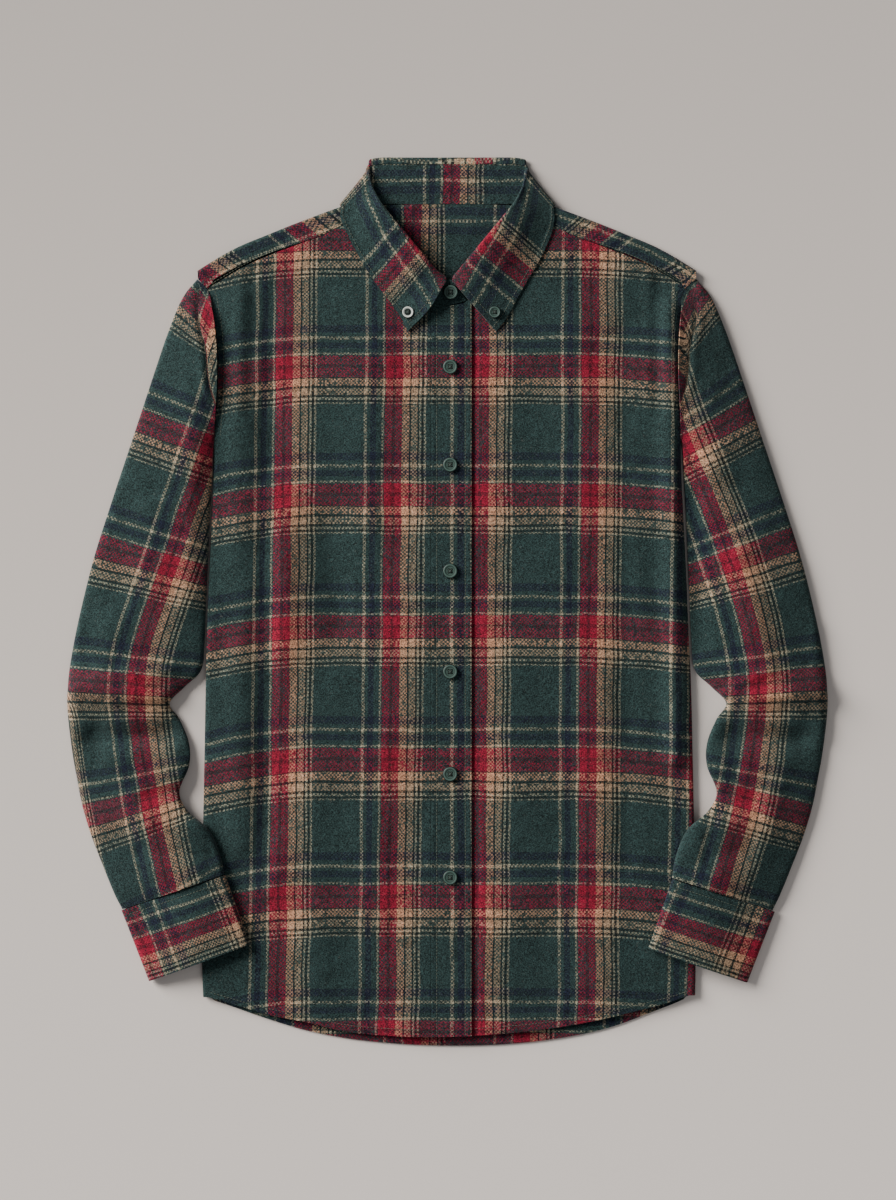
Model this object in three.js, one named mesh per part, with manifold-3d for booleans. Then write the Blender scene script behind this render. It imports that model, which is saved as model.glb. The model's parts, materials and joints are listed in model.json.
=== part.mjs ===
// A flannel shirt laid flat on its back, buttoned, with its arms at its sides.
// Millimetres. +Z is up, +Y points to the collar, and the shirt lies on z = 0.
// The origin is at the middle of the outline, on the surface that the shirt lies on.
// Left and right are those of someone who looks down at the laid shirt.

import * as THREE from 'three';
import Module from 'manifold-3d';

const wasm = await Module();
wasm.setup();

// Cloth
const CLOTH = 1.3;
const FOLDED_BAND = 1.8;
const CUFF_CLOTH = 1.8;
const COLLAR_CLOTH = 1.2;
const SEAM_GAP = 0.4;
const SIDE_SEAM_GAP = 0.8;
const ARMHOLE_GAP = 0.5;

// Heights of the middle of the cloth above the surface
const BACK_LEVEL = CLOTH / 2;
const FRONT_LEVEL = 4.6;
const PLACKET_LEVEL = 5.2;
const UNDERLAP_LEVEL = 3.25;
const SIDE_SEAM_LEVEL = 2.6;
const SIDE_ROUND = 5;
const ARM_LIFT = 6.1;

// Seams and openings
const BACK_YOKE_SEAM = 262;
const PLACKET_LEFT = -15;
const PLACKET_RIGHT = 21.5;
const UNDERLAP_EDGE = -13.5;
const NECK_HALF_WIDTH = 68;

// Collar
const STAND_TOP_LEVEL = 7.6;
const LEAF_ROLL = 2.4;
const LEAF_BACK_ROLL = 5;
const LEAF_FRONT_ROLL = 1.5;
const LEAF_REACH = 98;
const LEAF_BACK_EDGE = 350;

// Buttons
const BUTTON_DIAMETER = 13.4;
const COLLAR_BUTTON_DIAMETER = 10.8;
const BUTTON_THICKNESS = 2.6;
const BUTTON_SHANK = 0.35;
const NECK_BUTTON = { x: 3, y: 278 };
const NECK_BUTTON_SEAT = 7.1;
const FRONT_BUTTON_X = 2.5;
const FRONT_BUTTON_Y = [211, 123, 27.5, -63, -155, -248];
const COLLAR_BUTTON_SEAT = 7.6;
const COLLAR_BUTTON_LEFT = { x: -35.5, y: 260 };
const COLLAR_BUTTON_RIGHT = { x: 42.5, y: 260 };

// Outline of the body: the armhole down to y = 145, the side seam below it
const SIDES = [
  { y: 290.5, left: -225, right: 224 },
  { y: 281.5, left: -216.5, right: 214 },
  { y: 262, left: -211, right: 210 },
  { y: 236, left: -207.5, right: 207.5 },
  { y: 200, left: -206.5, right: 207 },
  { y: 172, left: -208, right: 208.5 },
  { y: 145, left: -210, right: 209.5 },
  { y: 96, left: -211.5, right: 211.5 },
  { y: 37, left: -214, right: 214.5 },
  { y: -22, left: -216.5, right: 217 },
  { y: -67, left: -217.5, right: 219 },
  { y: -149, left: -219, right: 221 },
  { y: -200, left: -220, right: 222 },
  { y: -325, left: -221, right: 223.5 },
  { y: -356, left: -220, right: 223 },
];
const ARMPIT = 145;
const ARMHOLE_ROWS = [281.5, 262, 236, 200, 172, 145];
const BODY_ROWS = [130, 96, 50, 0, -50, -100, -150, -200, -250, -300, -335, -356];

const HEM = [
  { x: -221, front: -356, back: -356 },
  { x: -196, front: -363, back: -364 },
  { x: -169, front: -371, back: -373.5 },
  { x: -128, front: -379, back: -386 },
  { x: -96, front: -386.5, back: -392.5 },
  { x: -48, front: -391, back: -398 },
  { x: 0, front: -391.5, back: -400 },
  { x: 48, front: -389, back: -399 },
  { x: 97, front: -384, back: -394 },
  { x: 145, front: -375.5, back: -384 },
  { x: 185, front: -366, back: -369.5 },
  { x: 209, front: -359.5, back: -360 },
  { x: 224, front: -353, back: -353 },
];

// Shoulder: the fold at the top of the yoke and the yoke's front seam below it
const SHOULDER = [
  { x: 0, fold: 371, seam: 352 },
  { x: 60, fold: 368, seam: 352 },
  { x: 72, fold: 364.5, seam: 347.5 },
  { x: 94, fold: 356, seam: 339 },
  { x: 110, fold: 350, seam: 330.5 },
  { x: 134, fold: 340.5, seam: 321.5 },
  { x: 159, fold: 329.5, seam: 312 },
  { x: 180, fold: 320, seam: 302.5 },
  { x: 200, fold: 308.5, seam: 291 },
  { x: 216, fold: 298, seam: 281.5 },
];

// Half of the collar from the front to the middle of the back.
// neck is the neck seam, top is the upper edge of the stand, edge is the free edge of the leaf.
const COLLAR = [
  { neck: [0, 266], top: [-1.5, 291], edge: [-35.6, 243], edgeRight: [43.7, 243] },
  { neck: [15, 269], top: [-10.5, 297.5], edge: [-43, 257], edgeRight: [53, 255] },
  { neck: [30, 279.5], top: [-22, 311], edge: [-54.5, 273], edgeRight: [63.5, 274] },
  { neck: [45, 294], top: [-35.5, 327], edge: [-67.5, 290.5], edgeRight: [74.5, 293] },
  { neck: [57, 311.5], top: [-49, 343.5], edge: [-79.5, 310], edgeRight: [85, 311] },
  { neck: [65, 331], top: [-60.5, 358.5], edge: [-90.5, 331.5], edgeRight: [93.5, 331.5] },
  { neck: [67.5, 342], top: [-68, 374], edge: [-96, 345], edgeRight: [96, 345] },
];

const SHIRT_COLOUR = 0x24413c;
const BAND_COLOUR = 0x2b463f;
const COLLAR_COLOUR = 0x47302f;
const BUTTON_COLOUR = 0x16302b;

// Left sleeve: the outer fold and the inner fold of the flat tube, from armhole to cuff
const SLEEVE = [
  { outer: [-225.5, 290.5], inner: [-211.5, 145] },
  { outer: [-238.5, 274], inner: [-213.5, 139] },
  { outer: [-250, 247], inner: [-214.5, 129] },
  { outer: [-262, 212], inner: [-215.2, 112] },
  { outer: [-284, 145], inner: [-216, 78] },
  { outer: [-302, 91], inner: [-217, 41] },
  { outer: [-319, 37], inner: [-218.5, 4] },
  { outer: [-332.5, -18], inner: [-220, -35] },
  { outer: [-339.8, -57], inner: [-222.5, -61] },
  { outer: [-342, -79], inner: [-236, -76] },
  { outer: [-342.4, -92], inner: [-250, -91.5] },
  { outer: [-341, -111], inner: [-241, -106.5] },
  { outer: [-337.5, -138], inner: [-232.5, -128] },
  { outer: [-333.5, -160], inner: [-232.5, -148] },
  { outer: [-329, -183], inner: [-241, -171] },
  { outer: [-321, -210], inner: [-233, -188.5] },
  { outer: [-311, -236], inner: [-214, -205.5] },
  { outer: [-300, -263], inner: [-204, -229] },
  { outer: [-292.8, -277], inner: [-200.7, -244.8] },
];
const CUFF_LEFT = {
  outer: [-293.5, -278], inner: [-199.5, -245.6], outerEnd: [-268.7, -341.6], innerEnd: [-177.8, -307.6],
};

// Largest folds of the laid cloth, as ridges (height over 0) and valleys (under 0)
const FOLDS = [
  { name: 'left chest ridge', from: [-186, 292], to: [-188, 172], width: 5, height: 0.9 },
  { name: 'left chest valley', from: [-175, 290], to: [-177, 176], width: 5, height: -1 },
  { name: 'right chest ridge', from: [180, 292], to: [181, 172], width: 5, height: 0.9 },
  { name: 'right chest valley', from: [190, 288], to: [190, 180], width: 5, height: -1 },
  { name: 'left waist swell', from: [-120, 60], to: [-90, -160], width: 45, height: 0.5 },
  { name: 'right waist swell', from: [110, 90], to: [130, -180], width: 45, height: 0.5 },
  { name: 'left hem swell', from: [-70, -300], to: [-60, -380], width: 22, height: -0.7 },
  { name: 'right hem swell', from: [80, -290], to: [90, -370], width: 22, height: -0.7 },
  { name: 'left elbow crease', from: [-245, -91], to: [-305, -99], width: 6, height: -1.3 },
  { name: 'right elbow crease', from: [245, -91], to: [305, -99], width: 6, height: -1.3 },
  { name: 'left forearm valley', from: [-313, -92], to: [-316, -150], width: 7, height: -1.1 },
  { name: 'right forearm valley', from: [262, -92], to: [258, -150], width: 7, height: -1.1 },
  { name: 'left upper arm valley', from: [-246, 210], to: [-268, 70], width: 14, height: -0.8 },
  { name: 'right upper arm valley', from: [246, 210], to: [268, 70], width: 14, height: -0.8 },
];

const smooth = (value) => {
  const t = Math.min(1, Math.max(0, value));
  return t * t * (3 - 2 * t);
};
const mix = (a, b, t) => a + (b - a) * t;
const mixPoint = (a, b, t) => a.map((value, i) => mix(value, b[i], t));

// Straight interpolation of one column of a table along another
function read(table, along, column, value) {
  const rising = table[1][along] > table[0][along];
  let i = 0;
  while (i < table.length - 2 && (rising ? value > table[i + 1][along] : value < table[i + 1][along])) {
    i += 1;
  }
  const a = table[i];
  const b = table[i + 1];
  const t = Math.min(1, Math.max(0, (value - a[along]) / (b[along] - a[along])));
  return mix(a[column], b[column], t);
}

function foldHeight(x, y) {
  let sum = 0;
  for (const fold of FOLDS) {
    const [ax, ay] = fold.from;
    const dx = fold.to[0] - ax;
    const dy = fold.to[1] - ay;
    const t = ((x - ax) * dx + (y - ay) * dy) / (dx * dx + dy * dy);
    const near = Math.min(1, Math.max(0, t));
    const distance = Math.hypot(x - ax - near * dx, y - ay - near * dy);
    sum += fold.height * Math.exp(-((distance / fold.width) ** 2));
  }
  return sum;
}

// The folded collar lies under the back of the neck and lifts the yoke there
function neckLift(x, y) {
  const distance = Math.hypot(Math.max(0, Math.abs(x) - LEAF_REACH), Math.max(0, LEAF_BACK_EDGE - 1 - y));
  return 1 - smooth(distance / 40);
}
const backZ = (x, y) => BACK_LEVEL + 2.2 * neckLift(x, y);
const frontZ = (x, y) => FRONT_LEVEL
  + (PLACKET_LEVEL - FRONT_LEVEL) * Math.exp(-((x / 45) ** 2))
  + 0.8 * neckLift(x, y)
  + foldHeight(x, y);

// Height of the surface that a sleeve lies on: the floor, or the side of the body
function armLift(x, y) {
  const side = x < 0 ? read(SIDES, 'y', 'left', y) : read(SIDES, 'y', 'right', y);
  const outside = Math.abs(x) - Math.abs(side);
  return ARM_LIFT * (1 - smooth(outside / 60)) * smooth((-105 - y) / 75);
}

// A cloth wall around a grid of points on the middle of the cloth.
// With closed true each row is a ring, so the wall is a tube with open ends.
function clothMesh(name, rows, thickness, colour, closed = false) {
  const rowCount = rows.length;
  const columnCount = rows[0].length;
  const point = (i, j) => {
    const row = Math.min(rowCount - 1, Math.max(0, i));
    const column = closed
      ? (j + columnCount) % columnCount
      : Math.min(columnCount - 1, Math.max(0, j));
    return rows[row][column];
  };
  const outer = [];
  const inner = [];
  for (let i = 0; i < rowCount; i += 1) {
    for (let j = 0; j < columnCount; j += 1) {
      const down = new THREE.Vector3().subVectors(point(i + 1, j), point(i - 1, j));
      const across = new THREE.Vector3().subVectors(point(i, j + 1), point(i, j - 1));
      const normal = new THREE.Vector3().crossVectors(down, across).normalize();
      outer.push(point(i, j).clone().addScaledVector(normal, thickness / 2));
      inner.push(point(i, j).clone().addScaledVector(normal, -thickness / 2));
    }
  }
  const vertices = outer.concat(inner);
  const faces = [];
  const quad = (a, b, c, d) => {
    faces.push([a, b, c], [a, c, d]);
  };
  const half = rowCount * columnCount;
  const id = (i, j) => i * columnCount + ((j + columnCount) % columnCount);
  const lastColumn = closed ? columnCount : columnCount - 1;
  for (let i = 0; i < rowCount - 1; i += 1) {
    for (let j = 0; j < lastColumn; j += 1) {
      quad(id(i, j), id(i + 1, j), id(i + 1, j + 1), id(i, j + 1));
      quad(half + id(i, j), half + id(i, j + 1), half + id(i + 1, j + 1), half + id(i + 1, j));
    }
  }
  for (let j = 0; j < lastColumn; j += 1) {
    quad(id(0, j), id(0, j + 1), half + id(0, j + 1), half + id(0, j));
    const last = rowCount - 1;
    quad(id(last, j + 1), id(last, j), half + id(last, j), half + id(last, j + 1));
  }
  if (!closed) {
    const last = columnCount - 1;
    for (let i = 0; i < rowCount - 1; i += 1) {
      quad(id(i + 1, 0), id(i, 0), half + id(i, 0), half + id(i + 1, 0));
      quad(id(i, last), id(i + 1, last), half + id(i + 1, last), half + id(i, last));
    }
  }
  return solidMesh(name, vertices, faces, colour, 0.92);
}

function solidMesh(name, vertices, faces, colour, roughness) {
  let volume = 0;
  for (const [a, b, c] of faces) {
    const cross = new THREE.Vector3().crossVectors(vertices[b], vertices[c]);
    volume += vertices[a].dot(cross) / 6;
  }
  const geometry = new THREE.BufferGeometry();
  const positions = new Float32Array(vertices.flatMap((vertex) => [vertex.x, vertex.y, vertex.z]));
  const index = faces.flatMap(([a, b, c]) => (volume < 0 ? [a, c, b] : [a, b, c]));
  geometry.setAttribute('position', new THREE.BufferAttribute(positions, 3));
  geometry.setIndex(index);
  geometry.computeVertexNormals();
  const material = new THREE.MeshStandardMaterial({ color: colour, roughness, metalness: 0 });
  const mesh = new THREE.Mesh(geometry, material);
  mesh.name = name;
  return mesh;
}

// Steps over a rounded side: how far the cloth still has to go, and how far it has bent
const SIDE_STEPS = [0, 35, 65, 90].map((degrees) => {
  const angle = THREE.MathUtils.degToRad(degrees);
  return { inset: SIDE_ROUND * (1 - Math.sin(angle)), bend: 1 - Math.cos(angle) };
});

// Below the armpit a panel bends round to the side seam; at the armhole it ends flat
function sidePoint(side, y, step, levelAt, seamLevel) {
  const edge = read(SIDES, 'y', side < 0 ? 'left' : 'right', y);
  const bendShare = smooth((ARMPIT - y) / 15);
  const margin = mix(ARMHOLE_GAP, CLOTH / 2, bendShare);
  const x = edge - side * (margin + step.inset);
  const level = levelAt(x, y);
  return new THREE.Vector3(x, y, level + (seamLevel - level) * bendShare * step.bend);
}

function buildBack() {
  const top = BACK_YOKE_SEAM - SEAM_GAP / 2;
  const rowLevels = [...ARMHOLE_ROWS.slice(1), ...BODY_ROWS];
  const bottom = rowLevels[rowLevels.length - 1];
  const columns = 12;
  const rows = rowLevels.map((rowY) => {
    const share = (BACK_YOKE_SEAM - rowY) / (BACK_YOKE_SEAM - bottom);
    const rowPoint = (x) => mix(top, read(HEM, 'x', 'back', x), share);
    const leftY = rowPoint(-221);
    const rightY = rowPoint(224);
    const seam = SIDE_SEAM_LEVEL - SIDE_SEAM_GAP / 2;
    const row = [...SIDE_STEPS].reverse().map((step) => sidePoint(-1, leftY, step, backZ, seam));
    const rightSide = SIDE_STEPS.map((step) => sidePoint(1, rightY, step, backZ, seam));
    const from = row[row.length - 1].x;
    const to = rightSide[0].x;
    for (let j = 1; j < columns; j += 1) {
      const x = mix(from, to, j / columns);
      const y = rowPoint(x);
      row.push(new THREE.Vector3(x, y, backZ(x, y)));
    }
    return row.concat(rightSide);
  });
  return clothMesh('back', rows, CLOTH, SHIRT_COLOUR);
}

// Upper edge of a front: the neck seam from the middle, then the yoke seam to the armhole
function frontTopEdge(side, innerX) {
  const edge = [];
  const neckTable = COLLAR.map(({ neck }) => ({ x: neck[0], y: neck[1] }));
  const neckY = (x) => read(neckTable, 'x', 'y', Math.abs(x)) - SEAM_GAP;
  edge.push([innerX, neckY(innerX)]);
  if (side > 0) {
    edge.push([0, neckY(0)], [15, neckY(15)]);
  }
  for (let k = 2; k < COLLAR.length; k += 1) {
    const [x, y] = COLLAR[k].neck;
    const [towardsX, towardsY] = [Math.abs(COLLAR[k].top[0]), COLLAR[k].top[1]];
    const length = Math.hypot(x - towardsX, y - towardsY);
    const away = [(x - towardsX) / length, (y - towardsY) / length];
    edge.push([side * (x + away[0] * SEAM_GAP + (k > 4 ? SEAM_GAP : 0)), y + away[1] * SEAM_GAP]);
  }
  for (const { x, seam } of SHOULDER.slice(3)) {
    edge.push([side * x, seam - SEAM_GAP / 2]);
  }
  return edge;
}

function underlapZ(x, y) {
  return mix(UNDERLAP_LEVEL, frontZ(x, y), smooth((x - PLACKET_RIGHT - 1) / 20));
}

function buildFront(name, side, innerX, levelAt) {
  const topEdge = frontTopEdge(side, innerX);
  const last = topEdge.length - 1;
  const rowLevels = [...ARMHOLE_ROWS, ...BODY_ROWS];
  const [first, bottom] = [rowLevels[0], rowLevels[rowLevels.length - 1]];
  const column = side < 0 ? 'left' : 'right';
  const rows = rowLevels.map((rowY) => {
    const share = (first - rowY) / (first - bottom);
    const spread = smooth(share / 0.3);
    const row = [];
    for (let j = 0; j < last; j += 1) {
      const topShare = (topEdge[j][0] - innerX) / (side * 209 - innerX);
      const part = mix(topShare, j / last, spread);
      const hemX = innerX + part * (side * 216 - innerX);
      const y = mix(topEdge[j][1], read(HEM, 'x', 'front', hemX), share);
      const sideX = read(SIDES, 'y', column, y) - side * (SIDE_ROUND + 1);
      const limit = Math.min(Math.abs(sideX), 209.5) * side;
      const x = innerX + part * (limit - innerX);
      row.push(new THREE.Vector3(x, y, levelAt(x, y)));
    }
    const hemSide = read(HEM, 'x', 'front', side * 221);
    const sideY = mix(topEdge[last][1], hemSide, share);
    const seam = SIDE_SEAM_LEVEL + SIDE_SEAM_GAP / 2;
    return row.concat(SIDE_STEPS.map((step) => sidePoint(side, sideY, step, levelAt, seam)));
  });
  return clothMesh(name, rows, CLOTH, SHIRT_COLOUR);
}

function buildPlacket() {
  const neckTable = COLLAR.map(({ neck }) => ({ x: neck[0], y: neck[1] }));
  const rows = [];
  const count = 16;
  for (let i = 0; i <= count; i += 1) {
    const row = [];
    for (const x of [PLACKET_LEFT + SEAM_GAP / 2, 0, 15, PLACKET_RIGHT]) {
      const top = read(neckTable, 'x', 'y', Math.abs(x)) - SEAM_GAP - 0.1;
      const y = mix(top, read(HEM, 'x', 'front', x), i / count);
      row.push(new THREE.Vector3(x, y, PLACKET_LEVEL));
    }
    rows.push(row);
  }
  return clothMesh('placket', rows, FOLDED_BAND, BAND_COLOUR);
}

// The yoke: down the front of the shoulder is negative, down the back is positive
function yokePoint(share, x0, along) {
  const fold = read(SHOULDER, 'x', 'fold', Math.abs(x0));
  const top = frontZ(x0, fold - 6);
  const bottom = backZ(x0, fold - 6);
  const radius = (top - bottom) / 2;
  const bend = along / radius;
  const quarter = Math.PI / 2;
  let y = fold - CLOTH / 2;
  let height = (top + bottom) / 2;
  if (Math.abs(bend) < quarter) {
    y -= radius * (1 - Math.cos(bend));
    height -= radius * Math.sin(bend);
  } else {
    y -= radius + Math.abs(along) - radius * quarter;
    height = 0;
  }
  const column = x0 < 0 ? 'left' : 'right';
  const edge = read(SIDES, 'y', column, y) - Math.sign(x0) * ARMHOLE_GAP;
  const wide = smooth((Math.abs(share) - 0.33) / 0.6);
  const x = mix(x0, share * Math.abs(edge), wide);
  if (height === 0) {
    height = along < 0 ? frontZ(x, y) : backZ(x, y);
  }
  return new THREE.Vector3(x, y, height);
}

// Distance along the yoke from its fold to a line at height y on the front or the back
function yokeReach(x0, y, front) {
  const fold = read(SHOULDER, 'x', 'fold', Math.abs(x0));
  const radius = (frontZ(x0, fold - 6) - backZ(x0, fold - 6)) / 2;
  const straight = fold - CLOTH / 2 - radius - y;
  const reach = straight > 0
    ? straight + radius * Math.PI / 2
    : radius * Math.acos(Math.max(-1, 1 - (fold - CLOTH / 2 - y) / radius));
  return front ? -reach : reach;
}

function buildYoke() {
  const outward = [72.5, 94, 110, 134, 159, 180, 200, 216];
  const neckEdge = [
    { x: 0, y: 357.6, front: false },
    { x: 30, y: 357.6, front: false },
    { x: 55, y: 357, front: false },
    { x: 64, y: 355.2, front: false },
    { x: 70.6, y: 351.5, front: false },
  ];
  const half = neckEdge.map(({ x, y, front }) => ({ x, start: (side) => yokeReach(side * x, y, front) }));
  for (const x of outward) {
    const seam = read(SHOULDER, 'x', 'seam', x) + SEAM_GAP / 2;
    half.push({ x, start: (side) => yokeReach(side * x, seam, true) });
  }
  const columns = [
    ...half.slice(1).reverse().map((column) => ({ ...column, side: -1 })),
    ...half.map((column) => ({ ...column, side: 1 })),
  ];
  const rows = [];
  const bendSteps = 5;
  const flatSteps = 5;
  for (let i = 0; i <= 2 + bendSteps + flatSteps; i += 1) {
    rows.push(columns.map(({ x, start, side }) => {
      const x0 = side * x;
      const begin = start(side);
      const end = yokeReach(x0, BACK_YOKE_SEAM + SEAM_GAP / 2, false);
      const bend = 4;
      let along;
      if (begin < -bend) {
        if (i <= 2) {
          along = mix(begin, -bend, i / 2);
        } else if (i <= 2 + bendSteps) {
          along = mix(-bend, bend, (i - 2) / bendSteps);
        } else {
          along = mix(bend, end, (i - 2 - bendSteps) / flatSteps);
        }
      } else {
        along = mix(begin, end, (i / (2 + bendSteps + flatSteps)) ** 1.3);
      }
      return yokePoint(side * x / 216, x0, along);
    }));
  }
  return clothMesh('yoke', rows, CLOTH, SHIRT_COLOUR);
}

// Columns of the collar all the way round, from its left front end to its right front end.
// away points to the outside of the collar: down at the back, up at the front.
function collarColumns() {
  const columns = [];
  const bends = [60, 30, 0, -30, -60, -90];
  for (const side of [-1, 1]) {
    const half = [];
    for (const entry of COLLAR) {
      const neck = [side * entry.neck[0], entry.neck[1]];
      const top = [side * Math.abs(entry.top[0]), entry.top[1]];
      if (entry === COLLAR[0]) {
        top[0] = side < 0 ? -1.5 : 10;
      }
      const near = smooth((entry.neck[0] - 18) / 25);
      const under = side > 0 ? 1 - near : 0;
      const seamZ = mix(frontZ(...neck), UNDERLAP_LEVEL, under);
      const shoulder = smooth((entry.top[1] - 345) / 40);
      const topZ = mix(mix(STAND_TOP_LEVEL, 5.9, under), 5.3, shoulder);
      const length = Math.hypot(top[0] - neck[0], top[1] - neck[1]);
      const short = LEAF_FRONT_ROLL / length;
      half.push({
        neck: [...neck, seamZ],
        top: [mix(top[0], neck[0], short), mix(top[1], neck[1], short), topZ],
        edge: side < 0 ? entry.edge : entry.edgeRight,
        angle: 90,
        roll: LEAF_FRONT_ROLL,
      });
    }
    for (const degrees of bends) {
      const angle = THREE.MathUtils.degToRad(degrees);
      const back = (1 - Math.sin(angle)) / 2;
      half.push({
        neck: [side * (NECK_HALF_WIDTH + 1.2 * Math.cos(angle)), mix(349, 356.5, back), mix(5.4, 2.9, back)],
        top: [side * (69 + 1.5 * Math.cos(angle)), mix(384, 392, back), mix(5.3, 3.05, back)],
        edge: [side * (93.5 + 3.2 * Math.cos(angle)), mix(352.5, 351, back) + 5.5 * Math.cos(angle)],
        angle: degrees,
        roll: mix(LEAF_FRONT_ROLL, LEAF_BACK_ROLL, back),
      });
    }
    for (const share of [0.72, 0.45, 0.2]) {
      half.push({
        neck: [side * share * 80, 358, 2.9],
        top: [side * share * 82, 393.5, 3.05],
        edge: [side * share * 110, LEAF_BACK_EDGE],
        angle: -90,
        roll: LEAF_BACK_ROLL,
      });
    }
    columns.push(half);
  }
  return [...columns[0], ...columns[1].reverse()];
}

function buildStand(columns) {
  const leftEnd = { neck: [17, 270.6, PLACKET_LEVEL], top: [4, 288.6, 7.8] };
  const rightEnd = { neck: [-13, 268.4, UNDERLAP_LEVEL], top: [-3, 290, 5.9] };
  const all = [leftEnd, ...columns, rightEnd];
  const steps = 3;
  const rows = [];
  for (let i = 0; i <= steps; i += 1) {
    rows.push(all.map(({ neck, top }) => new THREE.Vector3(...mixPoint(neck, top, i / steps))));
  }
  return clothMesh('collar_stand', rows, COLLAR_CLOTH, COLLAR_COLOUR);
}

// Where the leaf lies: on the front and the yoke, or under the back of the neck
function leafRestZ(x, y, angle) {
  const above = frontZ(x, y) + CLOTH / 2 + COLLAR_CLOTH / 2 + SEAM_GAP;
  const below = COLLAR_CLOTH / 2;
  return mix(below, above, (1 + Math.sin(THREE.MathUtils.degToRad(angle))) / 2);
}

function leafColumn({ neck, top, edge, angle, roll }) {
  const start = new THREE.Vector3(...top);
  const up = new THREE.Vector3(top[0] - edge[0], top[1] - edge[1], 0).normalize();
  const standUp = new THREE.Vector3(top[0] - neck[0], top[1] - neck[1], 0).normalize();
  const bend = THREE.MathUtils.degToRad(angle);
  const side = Math.sign(top[0]) || 1;
  const away = new THREE.Vector3(side * Math.cos(bend), 0, Math.sin(bend));
  const points = [];
  const overTheStand = [
    { forward: 1.3, out: 1.45 },
    { forward: 0.8, out: 1.85 },
    { forward: 0, out: 2.15 },
    { forward: -1, out: 2.3 },
    { forward: -2, out: LEAF_ROLL },
  ];
  const roundTheBack = [
    { forward: SEAM_GAP, out: 0 },
    { forward: roll + 0.1, out: 0.25 },
    { forward: roll + 0.9, out: 1.2 },
    { forward: roll + 0.1, out: 2.15 },
    { forward: -2, out: LEAF_ROLL },
  ];
  const path = angle > -80 ? overTheStand : roundTheBack;
  for (const { forward, out } of path) {
    points.push(start.clone().addScaledVector(standUp, forward).addScaledVector(away, out));
  }
  const rollEnd = points[points.length - 1];
  const rest = leafRestZ(edge[0], edge[1], angle);
  const steps = 4;
  for (let i = 1; i <= steps; i += 1) {
    const share = i / steps;
    const x = mix(rollEnd.x, edge[0], share);
    const y = mix(rollEnd.y, edge[1], share);
    const settled = smooth(share);
    const here = share < 1 ? leafRestZ(x, y, angle) : rest;
    points.push(new THREE.Vector3(x, y, mix(rollEnd.z, here, settled)));
  }
  return points;
}

function buildLeaf(columns) {
  return clothMesh('collar_leaf', columns.map(leafColumn), COLLAR_CLOTH, COLLAR_COLOUR);
}

// Share of the way from the outer fold to the inner fold at each step across a sleeve
const ARMHOLE_SHARE = [281.5, 262, 236, 200, 172].map((y) => (290.5 - y) / (290.5 - 145));
const END_STEPS = [
  { inset: 0, height: 0 },
  { inset: 0.9, height: 0.7 },
  { inset: 3.5, height: 1 },
];

// One ring of a flat tube from its outer fold to its inner fold and back underneath
function tubeRing({ outer, inner, bow = () => [0, 0], layers = () => 3.95, wall }) {
  const length = Math.hypot(inner[0] - outer[0], inner[1] - outer[1]);
  const across = [];
  for (const { inset, height } of END_STEPS) {
    across.push({ share: (inset + wall / 2) / length, height });
  }
  for (const share of ARMHOLE_SHARE) {
    across.push({ share, height: 1 });
  }
  for (const { inset, height } of [...END_STEPS].reverse()) {
    across.push({ share: 1 - (inset + wall / 2) / length, height });
  }
  const place = ({ share, height }, sign) => {
    const [bowX, bowY] = bow(share);
    const x = mix(outer[0], inner[0], share) + bowX;
    const y = mix(outer[1], inner[1], share) + bowY;
    const low = armLift(x, y) + wall / 2;
    const apart = layers(x, y);
    return new THREE.Vector3(x, y, low + apart / 2 + sign * height * apart / 2);
  };
  const over = across.map((step) => place(step, 1));
  const under = across.slice(1, -1).reverse().map((step) => place(step, -1));
  return over.concat(under);
}

function buildSleeve(name, side) {
  const column = side < 0 ? 'left' : 'right';
  const start = SLEEVE[0];
  const bowAt = (strength) => (share) => {
    const y = mix(start.outer[1], start.inner[1], share);
    const seamX = Math.abs(read(SIDES, 'y', column, y)) + ARMHOLE_GAP;
    const straight = Math.abs(mix(start.outer[0], start.inner[0], share));
    return [side * (seamX - straight) * strength, 0];
  };
  const rows = SLEEVE.map(({ outer, inner }, k) => tubeRing({
    outer: [-side * outer[0], outer[1]],
    inner: [-side * inner[0] + (side > 0 && k > 0 ? 1 : 0), inner[1]],
    bow: bowAt(Math.max(0, 1 - k / 4)),
    layers: (x, y) => 3.95 + foldHeight(x, y),
    wall: CLOTH,
  }));
  return clothMesh(name, rows, CLOTH, SHIRT_COLOUR, true);
}

function buildCuff(name, side) {
  const { outer, inner, outerEnd, innerEnd } = CUFF_LEFT;
  const rows = [0, 0.5, 1].map((share) => {
    const [outerX, outerY] = mixPoint(outer, outerEnd, share);
    const [innerX, innerY] = mixPoint(inner, innerEnd, share);
    const shift = side > 0 ? 2.5 : 0;
    return tubeRing({
      outer: [-side * outerX + shift * 0.5, outerY - shift * 0.5],
      inner: [-side * innerX + shift, innerY - shift * 1.5],
      layers: () => 3.9,
      wall: CUFF_CLOTH,
    });
  });
  return clothMesh(name, rows, CUFF_CLOTH, BAND_COLOUR, true);
}

function manifoldOf(vertices, faces) {
  const vertProperties = new Float32Array(vertices.flat());
  const triVerts = new Uint32Array(faces.flat());
  return new wasm.Manifold(new wasm.Mesh({ numProp: 3, vertProperties, triVerts }));
}

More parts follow.
